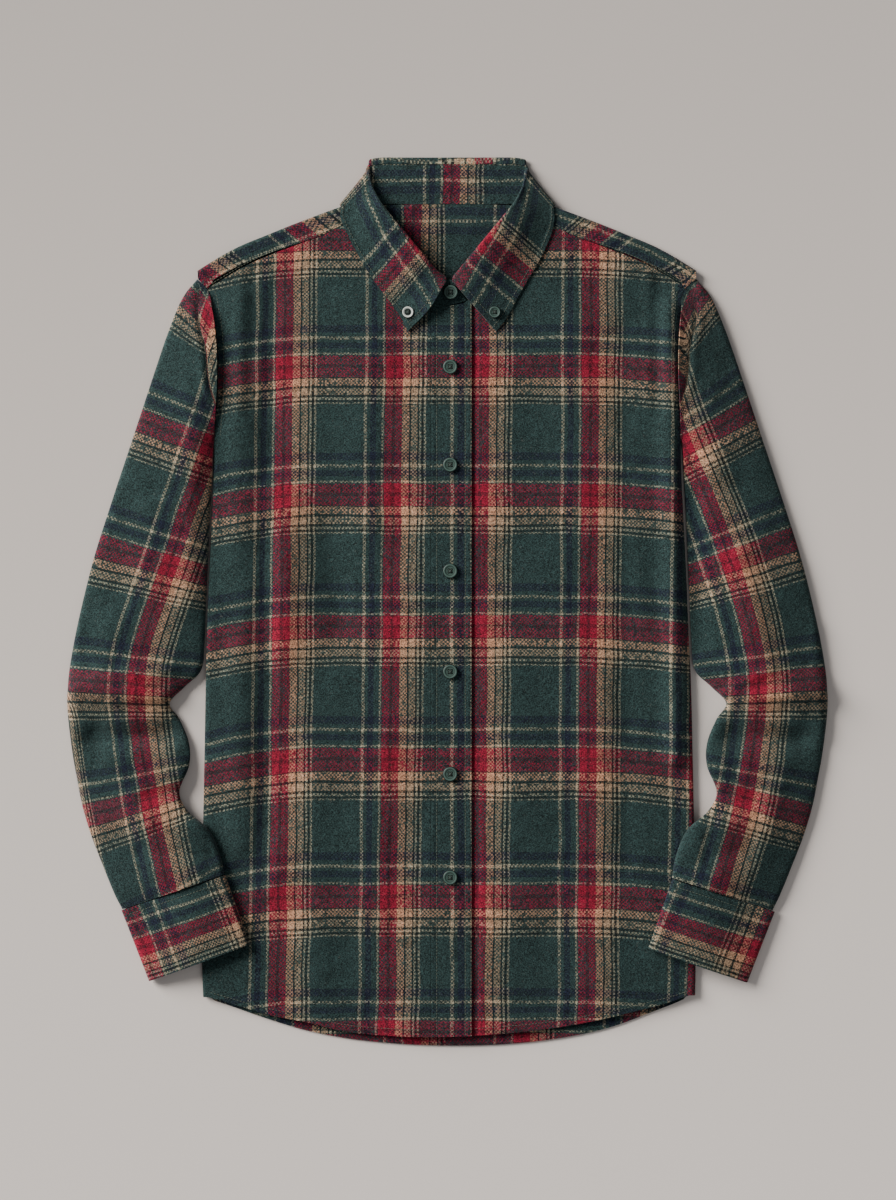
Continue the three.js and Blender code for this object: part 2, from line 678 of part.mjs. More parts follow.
// A turned body of straight sides about Z through a point
function turned(profile, sides, centreX = 0, centreY = 0) {
  const vertices = [];
  const faces = [];
  const bottom = vertices.push([centreX, centreY, profile[0].z]) - 1;
  const rings = profile.map(({ r, z }) => {
    const ring = [];
    for (let k = 0; k < sides; k += 1) {
      const angle = 2 * Math.PI * k / sides;
      ring.push(vertices.push([centreX + r * Math.cos(angle), centreY + r * Math.sin(angle), z]) - 1);
    }
    return ring;
  });
  const top = vertices.push([centreX, centreY, profile[profile.length - 1].z]) - 1;
  for (let k = 0; k < sides; k += 1) {
    const next = (k + 1) % sides;
    faces.push([bottom, rings[0][next], rings[0][k]]);
    for (let i = 0; i < rings.length - 1; i += 1) {
      faces.push([rings[i][k], rings[i][next], rings[i + 1][next]]);
      faces.push([rings[i][k], rings[i + 1][next], rings[i + 1][k]]);
    }
    faces.push([rings[rings.length - 1][k], rings[rings.length - 1][next], top]);
  }
  return manifoldOf(vertices, faces);
}

// A dished shirt button with a raised rim and four holes, its underside at z = 0
function buildButton(name, diameter) {
  const radius = diameter / 2;
  let body = turned([
    { r: radius * 0.78, z: 0 },
    { r: radius, z: BUTTON_THICKNESS * 0.4 },
    { r: radius * 0.93, z: BUTTON_THICKNESS * 0.9 },
    { r: radius * 0.78, z: BUTTON_THICKNESS },
    { r: radius * 0.6, z: BUTTON_THICKNESS * 0.62 },
    { r: radius * 0.3, z: BUTTON_THICKNESS * 0.55 },
  ], 16);
  const spread = radius * 0.24;
  for (const [x, y] of [[1, 1], [1, -1], [-1, 1], [-1, -1]]) {
    const hole = turned([{ r: 0.75, z: -1 }, { r: 0.75, z: 4 }], 6, x * spread, y * spread);
    body = body.subtract(hole);
  }
  const { vertProperties, triVerts, numProp } = body.getMesh();
  const vertices = [];
  for (let i = 0; i < vertProperties.length; i += numProp) {
    vertices.push(new THREE.Vector3(vertProperties[i], vertProperties[i + 1], vertProperties[i + 2]));
  }
  const faces = [];
  for (let i = 0; i < triVerts.length; i += 3) {
    faces.push([triVerts[i], triVerts[i + 1], triVerts[i + 2]]);
  }
  return solidMesh(name, vertices, faces, BUTTON_COLOUR, 0.3);
}

// A button rests on the cloth below it, tilted with the cloth
function placeButton(button, { x, y }, z, tiltX = 0, tiltY = 0) {
  button.rotation.set(tiltX, tiltY, 0);
  button.position.set(x, y, z + BUTTON_SHANK);
  return button;
}

const shirt = new THREE.Group();
const columns = collarColumns();
shirt.add(buildBack());
shirt.add(buildFront('front_left', -1, PLACKET_LEFT - SEAM_GAP / 2, frontZ));
shirt.add(buildFront('front_right', 1, UNDERLAP_EDGE, underlapZ));
shirt.add(buildPlacket());
shirt.add(buildYoke());
shirt.add(buildStand(columns));
shirt.add(buildLeaf(columns));
shirt.add(buildSleeve('sleeve_left', -1));
shirt.add(buildSleeve('sleeve_right', 1));
shirt.add(buildCuff('cuff_left', -1));
shirt.add(buildCuff('cuff_right', 1));

const placketTop = PLACKET_LEVEL + FOLDED_BAND / 2;
FRONT_BUTTON_Y.forEach((y, k) => {
  const button = buildButton(`button_front_${k + 1}`, BUTTON_DIAMETER);
  shirt.add(placeButton(button, { x: FRONT_BUTTON_X, y }, placketTop));
});
shirt.add(placeButton(buildButton('button_neck', BUTTON_DIAMETER), NECK_BUTTON, NECK_BUTTON_SEAT, 0.11));
const collarButtons = [['button_collar_left', COLLAR_BUTTON_LEFT], ['button_collar_right', COLLAR_BUTTON_RIGHT]];
for (const [name, place] of collarButtons) {
  shirt.add(placeButton(buildButton(name, COLLAR_BUTTON_DIAMETER), place, COLLAR_BUTTON_SEAT));
}

shirt.updateMatrixWorld(true);
const outline = new THREE.Box3().setFromObject(shirt);
const middle = outline.getCenter(new THREE.Vector3());
shirt.position.set(-middle.x, -middle.y, -outline.min.z);

export default shirt;
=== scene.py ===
"""A checked flannel shirt laid flat on a pale surface, seen from straight above."""

import json
import math

import bpy
import numpy as np
from mathutils import Matrix

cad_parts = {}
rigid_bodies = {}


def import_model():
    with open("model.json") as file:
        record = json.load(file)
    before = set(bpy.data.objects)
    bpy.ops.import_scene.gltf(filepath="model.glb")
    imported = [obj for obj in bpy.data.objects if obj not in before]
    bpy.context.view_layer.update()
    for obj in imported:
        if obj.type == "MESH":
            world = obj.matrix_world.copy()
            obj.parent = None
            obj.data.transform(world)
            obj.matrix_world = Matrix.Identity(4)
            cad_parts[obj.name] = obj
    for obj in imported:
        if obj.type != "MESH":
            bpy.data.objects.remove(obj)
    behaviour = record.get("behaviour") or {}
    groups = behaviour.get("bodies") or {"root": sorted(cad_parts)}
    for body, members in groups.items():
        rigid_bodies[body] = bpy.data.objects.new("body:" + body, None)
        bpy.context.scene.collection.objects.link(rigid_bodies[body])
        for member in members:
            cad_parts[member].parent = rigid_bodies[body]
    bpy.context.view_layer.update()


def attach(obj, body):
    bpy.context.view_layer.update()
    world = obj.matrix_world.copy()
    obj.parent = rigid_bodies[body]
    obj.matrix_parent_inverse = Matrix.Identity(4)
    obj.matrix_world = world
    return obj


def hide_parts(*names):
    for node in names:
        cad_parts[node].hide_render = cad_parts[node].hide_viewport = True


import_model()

# Lengths are in millimetres until a mesh is made
MM = 0.001
SHARP_FROM = math.radians(50)

# Cloth and the heights of its middle above the surface that the shirt lies on
CLOTH = 1.3
FOLDED_BAND = 1.8
COLLAR_CLOTH = 1.2
SEAM_GAP = 0.4
SIDE_SEAM_GAP = 0.8
ARMHOLE_GAP = 0.35
SHOULDER_GAP = 0.16
BACK_LEVEL = CLOTH / 2
FRONT_LEVEL = 4.6
PLACKET_LEVEL = 5.2
UNDERLAP_LEVEL = 3.25
SIDE_SEAM_LEVEL = 2.6
SIDE_ROUND = 5.0
ARM_LIFT = 6.1
BACK_YOKE_SEAM = 262.0
PLACKET_LEFT, PLACKET_RIGHT = -15.0, 21.5
UNDERLAP_EDGE = -13.5
NECK_HALF_WIDTH = 68.0
STAND_TOP_LEVEL = 7.6
ROLL_LIFT = 6.0
LEAF_REACH, LEAF_BACK_EDGE = 98.0, 350.0
ARMPIT = 145.0

# Sewing: distance from a folded edge, height of a thread's middle above the cloth
STITCH_INSET = 5.4
THREAD_LIFT, COLLAR_THREAD_LIFT = 0.12, 0.15

# Buttons
BUTTON_DIAMETER, COLLAR_BUTTON_DIAMETER, BUTTON_THICKNESS = 13.4, 10.8, 2.6
BUTTON_SHANK = 0.35
BUTTON_HOLE = 0.8
FRONT_BUTTON_X = 2.5
FRONT_BUTTON_Y = (211.0, 123.0, 27.5, -63.0, -155.0, -248.0)
NECK_BUTTON = (3.0, 278.0, 7.1)
COLLAR_BUTTON_LEFT = (-35.5, 260.0, 7.6)
COLLAR_BUTTON_RIGHT = (42.5, 260.0, 7.6)

# Outline of the body: y, left edge, right edge
SIDES = np.array([
    (290.5, -225, 224), (281.5, -216.5, 214), (262, -211, 210), (236, -207.5, 207.5),
    (200, -206.5, 207), (172, -208, 208.5), (145, -210, 209.5), (96, -211.5, 211.5),
    (37, -214, 214.5), (-22, -216.5, 217), (-67, -217.5, 219), (-149, -219, 221),
    (-200, -220, 222), (-325, -221, 223.5), (-356, -220, 223),
], float)

# Hem: x, front, back
HEM = np.array([
    (-221, -356, -356), (-196, -363, -364), (-169, -371, -373.5), (-128, -379, -386),
    (-96, -386.5, -392.5), (-48, -391, -398), (0, -391.5, -400), (48, -389, -399),
    (97, -384, -394), (145, -375.5, -384), (185, -366, -369.5), (209, -359.5, -360),
    (224, -353, -353),
], float)

# Shoulder: x, fold at the top of the yoke, front seam of the yoke
SHOULDER = np.array([
    (0, 371, 352), (60, 368, 352), (72, 364.5, 347.5), (94, 356, 339), (110, 350, 330.5),
    (134, 340.5, 321.5), (159, 329.5, 312), (180, 320, 302.5), (200, 308.5, 291), (216, 298, 281.5),
], float)

# Half of the collar: neck seam, upper edge of the stand, left free edge, right free edge
COLLAR = (
    ((0, 266), (-1.5, 291), (-35.6, 243), (43.7, 243)),
    ((15, 269), (-10.5, 297.5), (-43, 257), (53, 255)),
    ((30, 279.5), (-22, 311), (-54.5, 273), (63.5, 274)),
    ((45, 294), (-35.5, 327), (-67.5, 290.5), (74.5, 293)),
    ((57, 311.5), (-49, 343.5), (-79.5, 310), (85, 311)),
    ((65, 331), (-60.5, 358.5), (-90.5, 331.5), (93.5, 331.5)),
    ((67.5, 342), (-68, 374), (-96, 345), (96, 345)),
)

# Left sleeve: outer fold x and y, inner fold x and y
SLEEVE = np.array([
    (-225.5, 290.5, -211.5, 145), (-238.5, 274, -211.9, 139), (-250, 247, -212.1, 129),
    (-262, 212, -212.4, 112), (-284, 145, -213.7, 78), (-302, 91, -215.2, 41),
    (-319, 37, -216.9, 4), (-332.5, -18, -218.5, -35), (-339.8, -57, -221.5, -61),
    (-342, -79, -236, -76), (-342.4, -92, -250, -91.5), (-341, -111, -241, -106.5),
    (-337.5, -138, -232.5, -128), (-333.5, -160, -232.5, -148), (-329, -183, -241, -171),
    (-321, -210, -233, -188.5), (-311, -236, -214, -205.5), (-300, -263, -204, -229),
    (-292.8, -277, -200.7, -244.8),
], float)
# Left cuff: where its outer and inner folds start, then where they end
CUFF = ((-293.5, -278), (-199.5, -245.6), (-268.7, -341.6), (-177.8, -307.6))

# Folds: from x and y, to x and y, half width, height (valleys are under 0)
FOLDS = (
    (-186, 292, -188, 172, 5, 0.9), (-175, 290, -177, 176, 5, -1.0),
    (180, 292, 181, 172, 5, 0.9), (190, 288, 190, 180, 5, -1.0),
    (-120, 60, -90, -160, 45, 0.5), (110, 90, 130, -180, 45, 0.5),
    (-70, -300, -60, -380, 22, -0.7), (80, -290, 90, -370, 22, -0.7),
    (-313, -92, -316, -150, 7, -1.1), (262, -92, 258, -150, 7, -1.1),
)
FOLDS_OF_BOTH_SIDES = ((245, -91, 305, -99, 6, -1.3), (246, 210, 268, 70, 14, -0.8))

# Smaller folds that only the fine surface has, in the same columns
FINE_FOLDS = (
    (-185, 268, -187, -215, 15, 2.0), (-157, 278, -160, 120, 10, -1.1), (-158, 60, -162, -240, 12, -1.2),
    (-104, 72, -98, -25, 18, -2.2), (-146, 80, -146, -45, 14, 1.6), (-150, 60, -153, -250, 9, 0.9),
    (199, 262, 205, -140, 10, 3.8), (158, 250, 160, -240, 11, -0.9), (120, 260, 122, 60, 22, 1.0),
    (-70, 240, -76, 60, 20, 0.9), (60, -60, 66, -300, 22, 1.0), (-60, -120, -66, -330, 20, 0.9),
    (-120, -150, -118, -340, 18, 1.1), (130, -80, 134, -330, 20, 1.0),
    (-270, -222, -216, -230, 9, -1.2), (270, -222, 222, -234, 9, -1.2),
    (-266, -196, -222, -202, 9, 1.5), (266, -196, 226, -204, 9, 1.5), (-285, 90, -300, 0, 14, -1.3),
    (-300, -10, -310, -60, 12, 1.2), (-280, -180, -262, -240, 12, 1.3), (300, -150, 276, -240, 12, 1.2),
    (-236, -168, -275, -176, 5, -1.0), (236, -168, 275, -178, 5, -1.0),
    (-130, -200, -200, -300, 18, 0.7), (140, -200, 205, -300, 18, 0.7),
    (256, -121, 316, -124, 11, -4.2), (262, -88, 335, -80, 11, 3.4), (262, 40, 282, -44, 13, 2.0),
    (-252, -121, -316, -122, 11, -4.0), (-258, -88, -335, -78, 11, 3.2), (-227, 150, -232, 0, 12, 1.7),
    (-232, -138, -222, -176, 8, -1.2), (236, -182, 232, -238, 8, -1.0), (220, 115, 227, -40, 11, -1.6),
    (-90, 200, -60, 60, 16, 0.45), (80, 190, 60, 40, 18, -0.4),
    (-180, 40, -205, -60, 10, -0.6), (185, 30, 205, -70, 10, -0.6),
)
FINE_FOLDS_OF_BOTH_SIDES = (
    (250, -62, 322, -70, 10, 1.5), (240, -86, 290, -60, 5, 1.2), (230, 120, 262, 150, 9, 0.9),
    (225, 96, 262, 104, 7, -0.8), (330, -20, 336, -120, 6, 0.8), (150, 250, 190, 150, 14, 0.5),
)
FINE_FOLD_STRENGTH = 1.5

# Broad waves of cloth that doesn't lie quite flat: direction, wave length, start, height
WAVES = (
    (0.35, 83, 0.4, 0.22), (1.25, 121, 2.0, 0.26), (2.1, 59, 4.1, 0.13),
    (2.75, 147, 1.1, 0.25), (0.9, 37, 5.2, 0.06), (1.8, 29, 3.3, 0.05),
)

# Check: one repeat of the woven stripes, each up to its end in millimetres
WARP_REPEAT, WEFT_REPEAT = 98.8, 119.0
WARP = (
    ("red", 6.3), ("wine", 9.0), ("red", 15.2), ("tan", 21.9), ("dark", 23.5), ("brown", 29.2),
    ("dark", 30.6), ("cream", 32.8), ("dark", 34.8), ("cream", 36.9), ("green", 80.2), ("cream", 82.7),
    ("green", 86.0), ("navy", 91.0), ("green", 96.0), ("cream", 97.7), ("green", 98.8),
)
WEFT = (
    ("red", 7.7), ("wine", 10.8), ("red", 19.6), ("dark", 20.9), ("tan", 27.6), ("dark", 29.9),
    ("brown", 36.6), ("dark", 38.9), ("cream", 41.3), ("dark", 43.4), ("cream", 45.0), ("green", 89.9),
    ("navy", 97.1), ("green", 100.8), ("cream", 103.3), ("green", 106.0), ("navy", 111.6), ("green", 116.2),
    ("cream", 118.0), ("green", 119.0),
)
WEAVE_CELL = 1.65
MIXING_ROOT = 4
YARN = {
    "red": (121, 28, 46), "wine": (74, 26, 36), "tan": (173, 126, 99), "brown": (146, 121, 98),
    "cream": (134, 127, 108), "dark": (26, 33, 32), "green": (39, 54, 53), "navy": (27, 32, 44),
}
LINT = (150, 150, 142)
# How far the stripes stray, in metres: from thread to thread, and over a few centimetres
FUZZ, DRIFT = 0.0012, 0.003
RESIN_CLOUD = (12, 20, 18)

# Height on the front where each repeat of the cross stripes starts
WEFT_STARTS_Y = (449, 335, 221.3, 106, -12.7, -131.9, -255.2, -377.3, -497)
WEFT_STARTS = (-2, -1, 0, 1, 2, 3, 4, 5, 6)


def smooth(value):
    t = np.clip(value, 0.0, 1.0)
    return t * t * (3 - 2 * t)


def mix(a, b, t):
    return a + (b - a) * t


def flow(xs, ys, at):
    """A smooth curve through the points of a table."""
    xs, ys = np.asarray(xs, float), np.asarray(ys, float)
    if xs[0] > xs[-1]:
        xs, ys = xs[::-1], ys[::-1]
    slope = np.gradient(ys, xs)
    at = np.clip(at, xs[0], xs[-1])
    i = np.clip(np.searchsorted(xs, at) - 1, 0, len(xs) - 2)
    h = xs[i + 1] - xs[i]
    t = (at - xs[i]) / h
    start = (2 * t**3 - 3 * t**2 + 1) * ys[i] + (t**3 - 2 * t**2 + t) * h * slope[i]
    end = (3 * t**2 - 2 * t**3) * ys[i + 1] + (t**3 - t**2) * h * slope[i + 1]
    return start + end


def side_x(side, y):
    return flow(SIDES[:, 0], SIDES[:, 1 if side < 0 else 2], y)


def side_beside(x, y):
    """The side of the body at a height, on the side of the shirt where x is."""
    return np.where(x < 0, side_x(-1, y), side_x(1, y))


def hem_y(x, column=1):
    return flow(HEM[:, 0], HEM[:, column], x)


def shoulder_fold(x):
    return flow(SHOULDER[:, 0], SHOULDER[:, 1], np.abs(x))


def shoulder_seam(x):
    return flow(SHOULDER[:, 0], SHOULDER[:, 2], np.abs(x))


def neck_seam(x):
    neck = np.array([step[0] for step in COLLAR], float)
    return np.interp(np.abs(x), neck[:, 0], neck[:, 1])


def flow_all(xs, table, at):
    """Each column of a table as a smooth curve."""
    return np.stack([flow(xs, column, at) for column in table.T], axis=1)


def together(*parts):
    return np.stack(parts, axis=-1)


def swell(distance, centre, width):
    """A rounded rise of 1 at its centre that dies away over its width."""
    return np.exp(-(((distance - centre) / width) ** 2))


def fold_sum(folds, paired, x, y):
    total = np.zeros(np.broadcast(x, y).shape)
    mirrored = tuple((-ax, ay, -bx, by, width, height) for ax, ay, bx, by, width, height in paired)
    for ax, ay, bx, by, width, height in folds + paired + mirrored:
        dx, dy = bx - ax, by - ay
        near = np.clip(((x - ax) * dx + (y - ay) * dy) / (dx * dx + dy * dy), 0, 1)
        distance = np.hypot(x - ax - near * dx, y - ay - near * dy)
        total = total + height * swell(distance, 0, width)
    return total


def relief(x, y):
    waves = sum(
        height * np.sin((x * math.cos(turn) + y * math.sin(turn)) * 2 * math.pi / length + start)
        for turn, length, start, height in WAVES
    )
    large = fold_sum(FOLDS, FOLDS_OF_BOTH_SIDES, x, y)
    small = fold_sum(FINE_FOLDS, FINE_FOLDS_OF_BOTH_SIDES, x, y)
    return large + FINE_FOLD_STRENGTH * small + waves


def neck_lift(x, y):
    distance = np.hypot(np.maximum(0, np.abs(x) - LEAF_REACH), np.maximum(0, LEAF_BACK_EDGE - 1 - y))
    return 1 - smooth(distance / 40)


def back_z(x, y):
    return BACK_LEVEL + 2.2 * neck_lift(x, y)


def front_z(x, y):
    """Middle of the upper layer of the body."""
    middle = swell(x, 0, 45)
    beside = smooth((np.abs(x - 3) - 18) / 14)
    level = FRONT_LEVEL + (PLACKET_LEVEL - FRONT_LEVEL) * middle
    return level + 0.8 * neck_lift(x, y) + relief(x, y) * beside


def underlap_z(x, y):
    return mix(UNDERLAP_LEVEL, front_z(x, y), smooth((x - PLACKET_RIGHT - 1) / 9))


def arm_lift(x, y):
    outside = np.abs(x) - np.abs(side_beside(x, y))
    return ARM_LIFT * (1 - smooth(outside / 60)) * smooth((-105 - y) / 75)


def weft_at(y):
    return np.interp(-np.asarray(y, float), -np.array(WEFT_STARTS_Y, float), WEFT_STARTS) * WEFT_REPEAT


def normals_of(points, ring):
    if ring:
        wide = np.concatenate([points[:, -1:], points, points[:, :1]], axis=1)
        across = wide[:, 2:] - wide[:, :-2]
    else:
        across = np.gradient(points, axis=1)
    down = np.gradient(points, axis=0)
    normal = np.cross(down, across)
    return normal / np.maximum(np.linalg.norm(normal, axis=2, keepdims=True), 1e-9)


def link(name, data):
    piece = bpy.data.objects.new(name, data)
    bpy.context.scene.collection.objects.link(piece)
    return piece


def mesh_of(name, vertices, edges, faces, *materials):
    mesh = bpy.data.meshes.new(name)
    mesh.from_pydata((np.asarray(vertices, float) * MM).tolist(), edges, faces)
    for material in materials:
        mesh.materials.append(material)
    return mesh


def cloth(name, points, grain, wall, material, ring=False):
    """A cloth wall around a grid of points on its middle, with the weave's own coordinates."""
    rows, columns = points.shape[:2]
    normal = normals_of(points, ring)
    vertices = np.concatenate([
        (points + normal * wall / 2).reshape(-1, 3),
        (points - normal * wall / 2).reshape(-1, 3),
    ])
    faces, corners = [], []

    def fill(places, layers):
        """Faces with these corners in the grid, each corner on the upper (0) or lower (1) side."""
        numbers = [row * columns + column % columns for row, column in places]
        below = [layer * rows * columns for layer in layers]
        faces.append(together(*(number + shift for number, shift in zip(numbers, below))))
        corners.append(np.stack([together(*place) for place in places], axis=1))

    def rim(a, b):
        fill((a, b, b, a), (0, 0, 1, 1))

    last = columns if ring else columns - 1
    i, j = (part.ravel() for part in np.meshgrid(np.arange(rows - 1), np.arange(last), indexing="ij"))
    square = ((i, j), (i + 1, j), (i + 1, j + 1), (i, j + 1))
    fill(square, (0, 0, 0, 0))
    fill(square[::-1], (1, 1, 1, 1))
    j = np.arange(last)
    bottom = 0 * j + rows - 1
    rim((0 * j, j), (0 * j, j + 1))
    rim((bottom, j + 1), (bottom, j))
    if not ring:
        i = np.arange(rows - 1)
        end = 0 * i + columns - 1
        rim((i + 1, 0 * i), (i, 0 * i))
        rim((i, end), (i + 1, end))
    faces, corners = np.concatenate(faces), np.concatenate(corners)
    a, b, c, d = (vertices[faces[:, k]] for k in range(4))
    if np.einsum("ij,ij->i", a, np.cross(b, c) + np.cross(c, d)).sum() < 0:
        faces, corners = faces[:, ::-1], corners[:, ::-1]
    mesh = mesh_of(name, vertices, [], faces.tolist(), material)
    layer = mesh.uv_layers.new(name="cloth")
    weave = grain[corners[..., 0], corners[..., 1]].reshape(-1, 2) * MM
    layer.uv.foreach_set("vector", weave.astype(np.float32).ravel())
    mesh.polygons.foreach_set("use_smooth", [True] * len(mesh.polygons))
    mesh.set_sharp_from_angle(angle=SHARP_FROM)
    return link(name, mesh)


# Materials

def linear(colour):
    c = np.array(colour, float) / 255
    c = np.where(c <= 0.04045, c / 12.92, ((c + 0.055) / 1.055) ** 2.4)
    return (*c.tolist(), 1.0)


def for_mixing(colour):
    """Yarns mix as their geometric mean: a root of each is mixed, and a gamma node makes light of it."""
    return (*((v / 255) ** (1 / MIXING_ROOT) for v in colour), 1.0)


class Nodes:
    """Short calls for the nodes of one tree."""

    def __init__(self, tree):
        self.tree = tree

    def feed(self, socket, value):
        if isinstance(value, (int, float, tuple)):
            socket.default_value = value
        else:
            self.tree.links.new(value, socket)

    def add(self, kind, inputs=None, **settings):
        node = self.tree.nodes.new(kind)
        for key, value in settings.items():
            setattr(node, key, value)
        for label, value in (inputs or {}).items():
            self.feed(node.inputs[label], value)
        return node

    def math(self, operation, *values):
        return self.add("ShaderNodeMath", dict(enumerate(values)), operation=operation).outputs[0]

    def scaled(self, value, factor, shift=0.0):
        return self.math("MULTIPLY_ADD", value, factor, shift)

    def total(self, first, *others):
        for value in others:
            first = self.math("ADD", first, value)
        return first

    def between(self, low, value, high):
        return self.math("MINIMUM", self.math("MAXIMUM", value, low), high)

    def blend(self, kind, factor, a, b):
        inputs = {0: factor, 6: a, 7: b}
        return self.add("ShaderNodeMix", inputs, data_type="RGBA", blend_type=kind).outputs[2]

    def noise(self, vector, scale, detail=2.0, roughness=0.5):
        inputs = {"Vector": vector, "Scale": scale, "Detail": detail, "Roughness": roughness}
        return self.add("ShaderNodeTexNoise", inputs).outputs["Fac"]

    def bump(self, height, strength, distance):
        inputs = {"Height": height, "Strength": strength, "Distance": distance}
        return self.add("ShaderNodeBump", inputs).outputs[0]


class Finish:
    """A material in the making: its nodes, and the place of each point in its piece."""

    def __init__(self, name):
        self.material = bpy.data.materials.new(name)
        self.material.use_nodes = True
        self.nodes = Nodes(self.material.node_tree)
        self.place = self.nodes.add("ShaderNodeTexCoord").outputs["Object"]

    def done(self, colour, **inputs):
        shader = self.material.node_tree.nodes["Principled BSDF"]
        self.nodes.feed(shader.inputs["Base Color"], colour)
        for label, value in inputs.items():
            self.nodes.feed(shader.inputs[label.replace("_", " ")], value)
        return self.material


def stripes(nodes, position, repeat, table):
    share = nodes.math("FRACT", nodes.math("DIVIDE", position, repeat * MM))
    ramp = nodes.add("ShaderNodeValToRGB", {0: share})
    ramp.color_ramp.interpolation = "CONSTANT"
    elements = ramp.color_ramp.elements
    elements.remove(elements[1])
    elements[0].position = 0.0
    elements[0].color = for_mixing(YARN[table[0][0]])
    for (_, start), (yarn, _) in zip(table[:-1], table[1:]):
        elements.new(start / repeat).color = for_mixing(YARN[yarn])
    return ramp.outputs[0]


def flannel_material(name):
    """Brushed check: warp and weft stripes that show in turn, cell by cell, under a soft nap."""
    finish = Finish(name)
    nodes, place = finish.nodes, finish.place
    weave = nodes.add("ShaderNodeUVMap", uv_map="cloth").outputs[0]
    split = nodes.add("ShaderNodeSeparateXYZ", {0: weave}).outputs
    fine = nodes.math("SUBTRACT", nodes.noise(place, 800, 2, 0.6), 0.5)
    drift = nodes.math("SUBTRACT", nodes.noise(place, 22, 1), 0.5)
    shift = nodes.total(nodes.scaled(fine, FUZZ), nodes.scaled(drift, DRIFT))
    warp = stripes(nodes, nodes.total(split[0], shift), WARP_REPEAT, WARP)
    weft = stripes(nodes, nodes.total(split[1], shift), WEFT_REPEAT, WEFT)

    # Which of the two yarns shows in each cell of the weave
    column = nodes.math("FLOOR", nodes.math("DIVIDE", split[0], WEAVE_CELL * MM))
    row = nodes.math("FLOOR", nodes.math("DIVIDE", split[1], WEAVE_CELL * MM))
    cell = nodes.add("ShaderNodeCombineXYZ", {0: column, 1: row}).outputs[0]
    chance = nodes.add("ShaderNodeTexWhiteNoise", {"Vector": cell}, noise_dimensions="2D").outputs[0]
    rib = nodes.math("PINGPONG", nodes.total(column, row), 1.0)
    over = nodes.total(nodes.scaled(rib, 0.6), nodes.scaled(chance, 0.75), nodes.scaled(fine, 0.5))
    over = nodes.between(0.14, nodes.scaled(over, 5.0, -3.0), 0.84)
    mixed = nodes.blend("MIX", over, warp, weft)
    colour = nodes.add("ShaderNodeGamma", {0: mixed, 1: 2.2 * MIXING_ROOT}).outputs[0]

    # Light and dark of the nap; where warp and weft differ most, both are a little darker
    nap = nodes.noise(place, 1000, 3, 0.7)
    patch = nodes.noise(place, 40, 3, 0.6)
    speck = nodes.scaled(chance, 0.4, -0.2)
    light = nodes.total(nodes.scaled(nap, 6.2, -2.3), nodes.scaled(patch, 0.4), speck)
    apart = nodes.add("ShaderNodeRGBToBW", {0: nodes.blend("DIFFERENCE", 1.0, warp, weft)}).outputs[0]
    light = nodes.math("MULTIPLY", nodes.math("MAXIMUM", light, 0.2), nodes.scaled(apart, -0.9, 1.0))
    tone = nodes.add("ShaderNodeCombineColor", {0: light, 1: light, 2: light}).outputs[0]
    colour = nodes.blend("MULTIPLY", 1.0, colour, tone)
    lint = nodes.math("GREATER_THAN", nodes.noise(place, 480, 4, 0.7), 0.64)
    colour = nodes.blend("MIX", nodes.scaled(lint, 0.12), colour, linear(LINT))

    crumple = nodes.noise(place, 85, 3, 0.55)
    height = nodes.total(nodes.scaled(rib, 0.6), nodes.scaled(nap, 0.9), nodes.scaled(crumple, 4.0))
    return finish.done(colour, Roughness=0.95, Specular_IOR_Level=0.15, Sheen_Weight=0.12,
                       Sheen_Roughness=0.45, Normal=nodes.bump(height, 0.55, 0.0006))


def thread_material(name, colour):
    finish = Finish(name)
    twist = finish.nodes.noise(finish.place, 1500, 2)
    dark = linear(tuple(v * 0.6 for v in colour))
    return finish.done(finish.nodes.blend("MIX", twist, dark, linear(colour)), Roughness=0.8)


def button_material(name, rings):
    """Resin in rings of tone, some of them painted highlight and painted shade: each has its share of the
    radius and a colour.
    """
    finish = Finish(name)
    nodes = finish.nodes
    ring = nodes.add("ShaderNodeAttribute", attribute_name="from_centre").outputs["Fac"]
    ramp = nodes.add("ShaderNodeValToRGB", {0: ring})
    elements = ramp.color_ramp.elements
    elements[0].position, elements[0].color = 0.0, linear(rings[0][1])
    elements[1].position, elements[1].color = 1.0, linear(rings[-1][1])
    for share, colour in rings[:-1]:
        elements.new(share).color = linear(colour)
    cloud = nodes.noise(finish.place, 300, 3, 0.6)
    shade = nodes.blend("MIX", nodes.scaled(cloud, 0.35), ramp.outputs[0], linear(RESIN_CLOUD))
    return finish.done(shade, Roughness=0.5, Specular_IOR_Level=0.3, Normal=nodes.bump(cloud, 0.2, 0.0003))


# Rings of the dark buttons. The rest is the resin's own green, but the lighter rim is a painted highlight,
# the dark rings are painted shade in the grooves, and the near-black outer edge is a painted contact shadow.
DARK_RINGS_WITH_PAINTED_LIGHT = ((0.08, (84, 104, 96)), (0.2, (8, 14, 13)), (0.3, (44, 60, 54)), (0.5, (66, 88, 80)),
              (0.62, (30, 44, 40)), (0.72, (64, 86, 78)), (0.87, (72, 96, 88)), (0.93, (12, 18, 17)),
              (1.0, (4, 6, 6)))
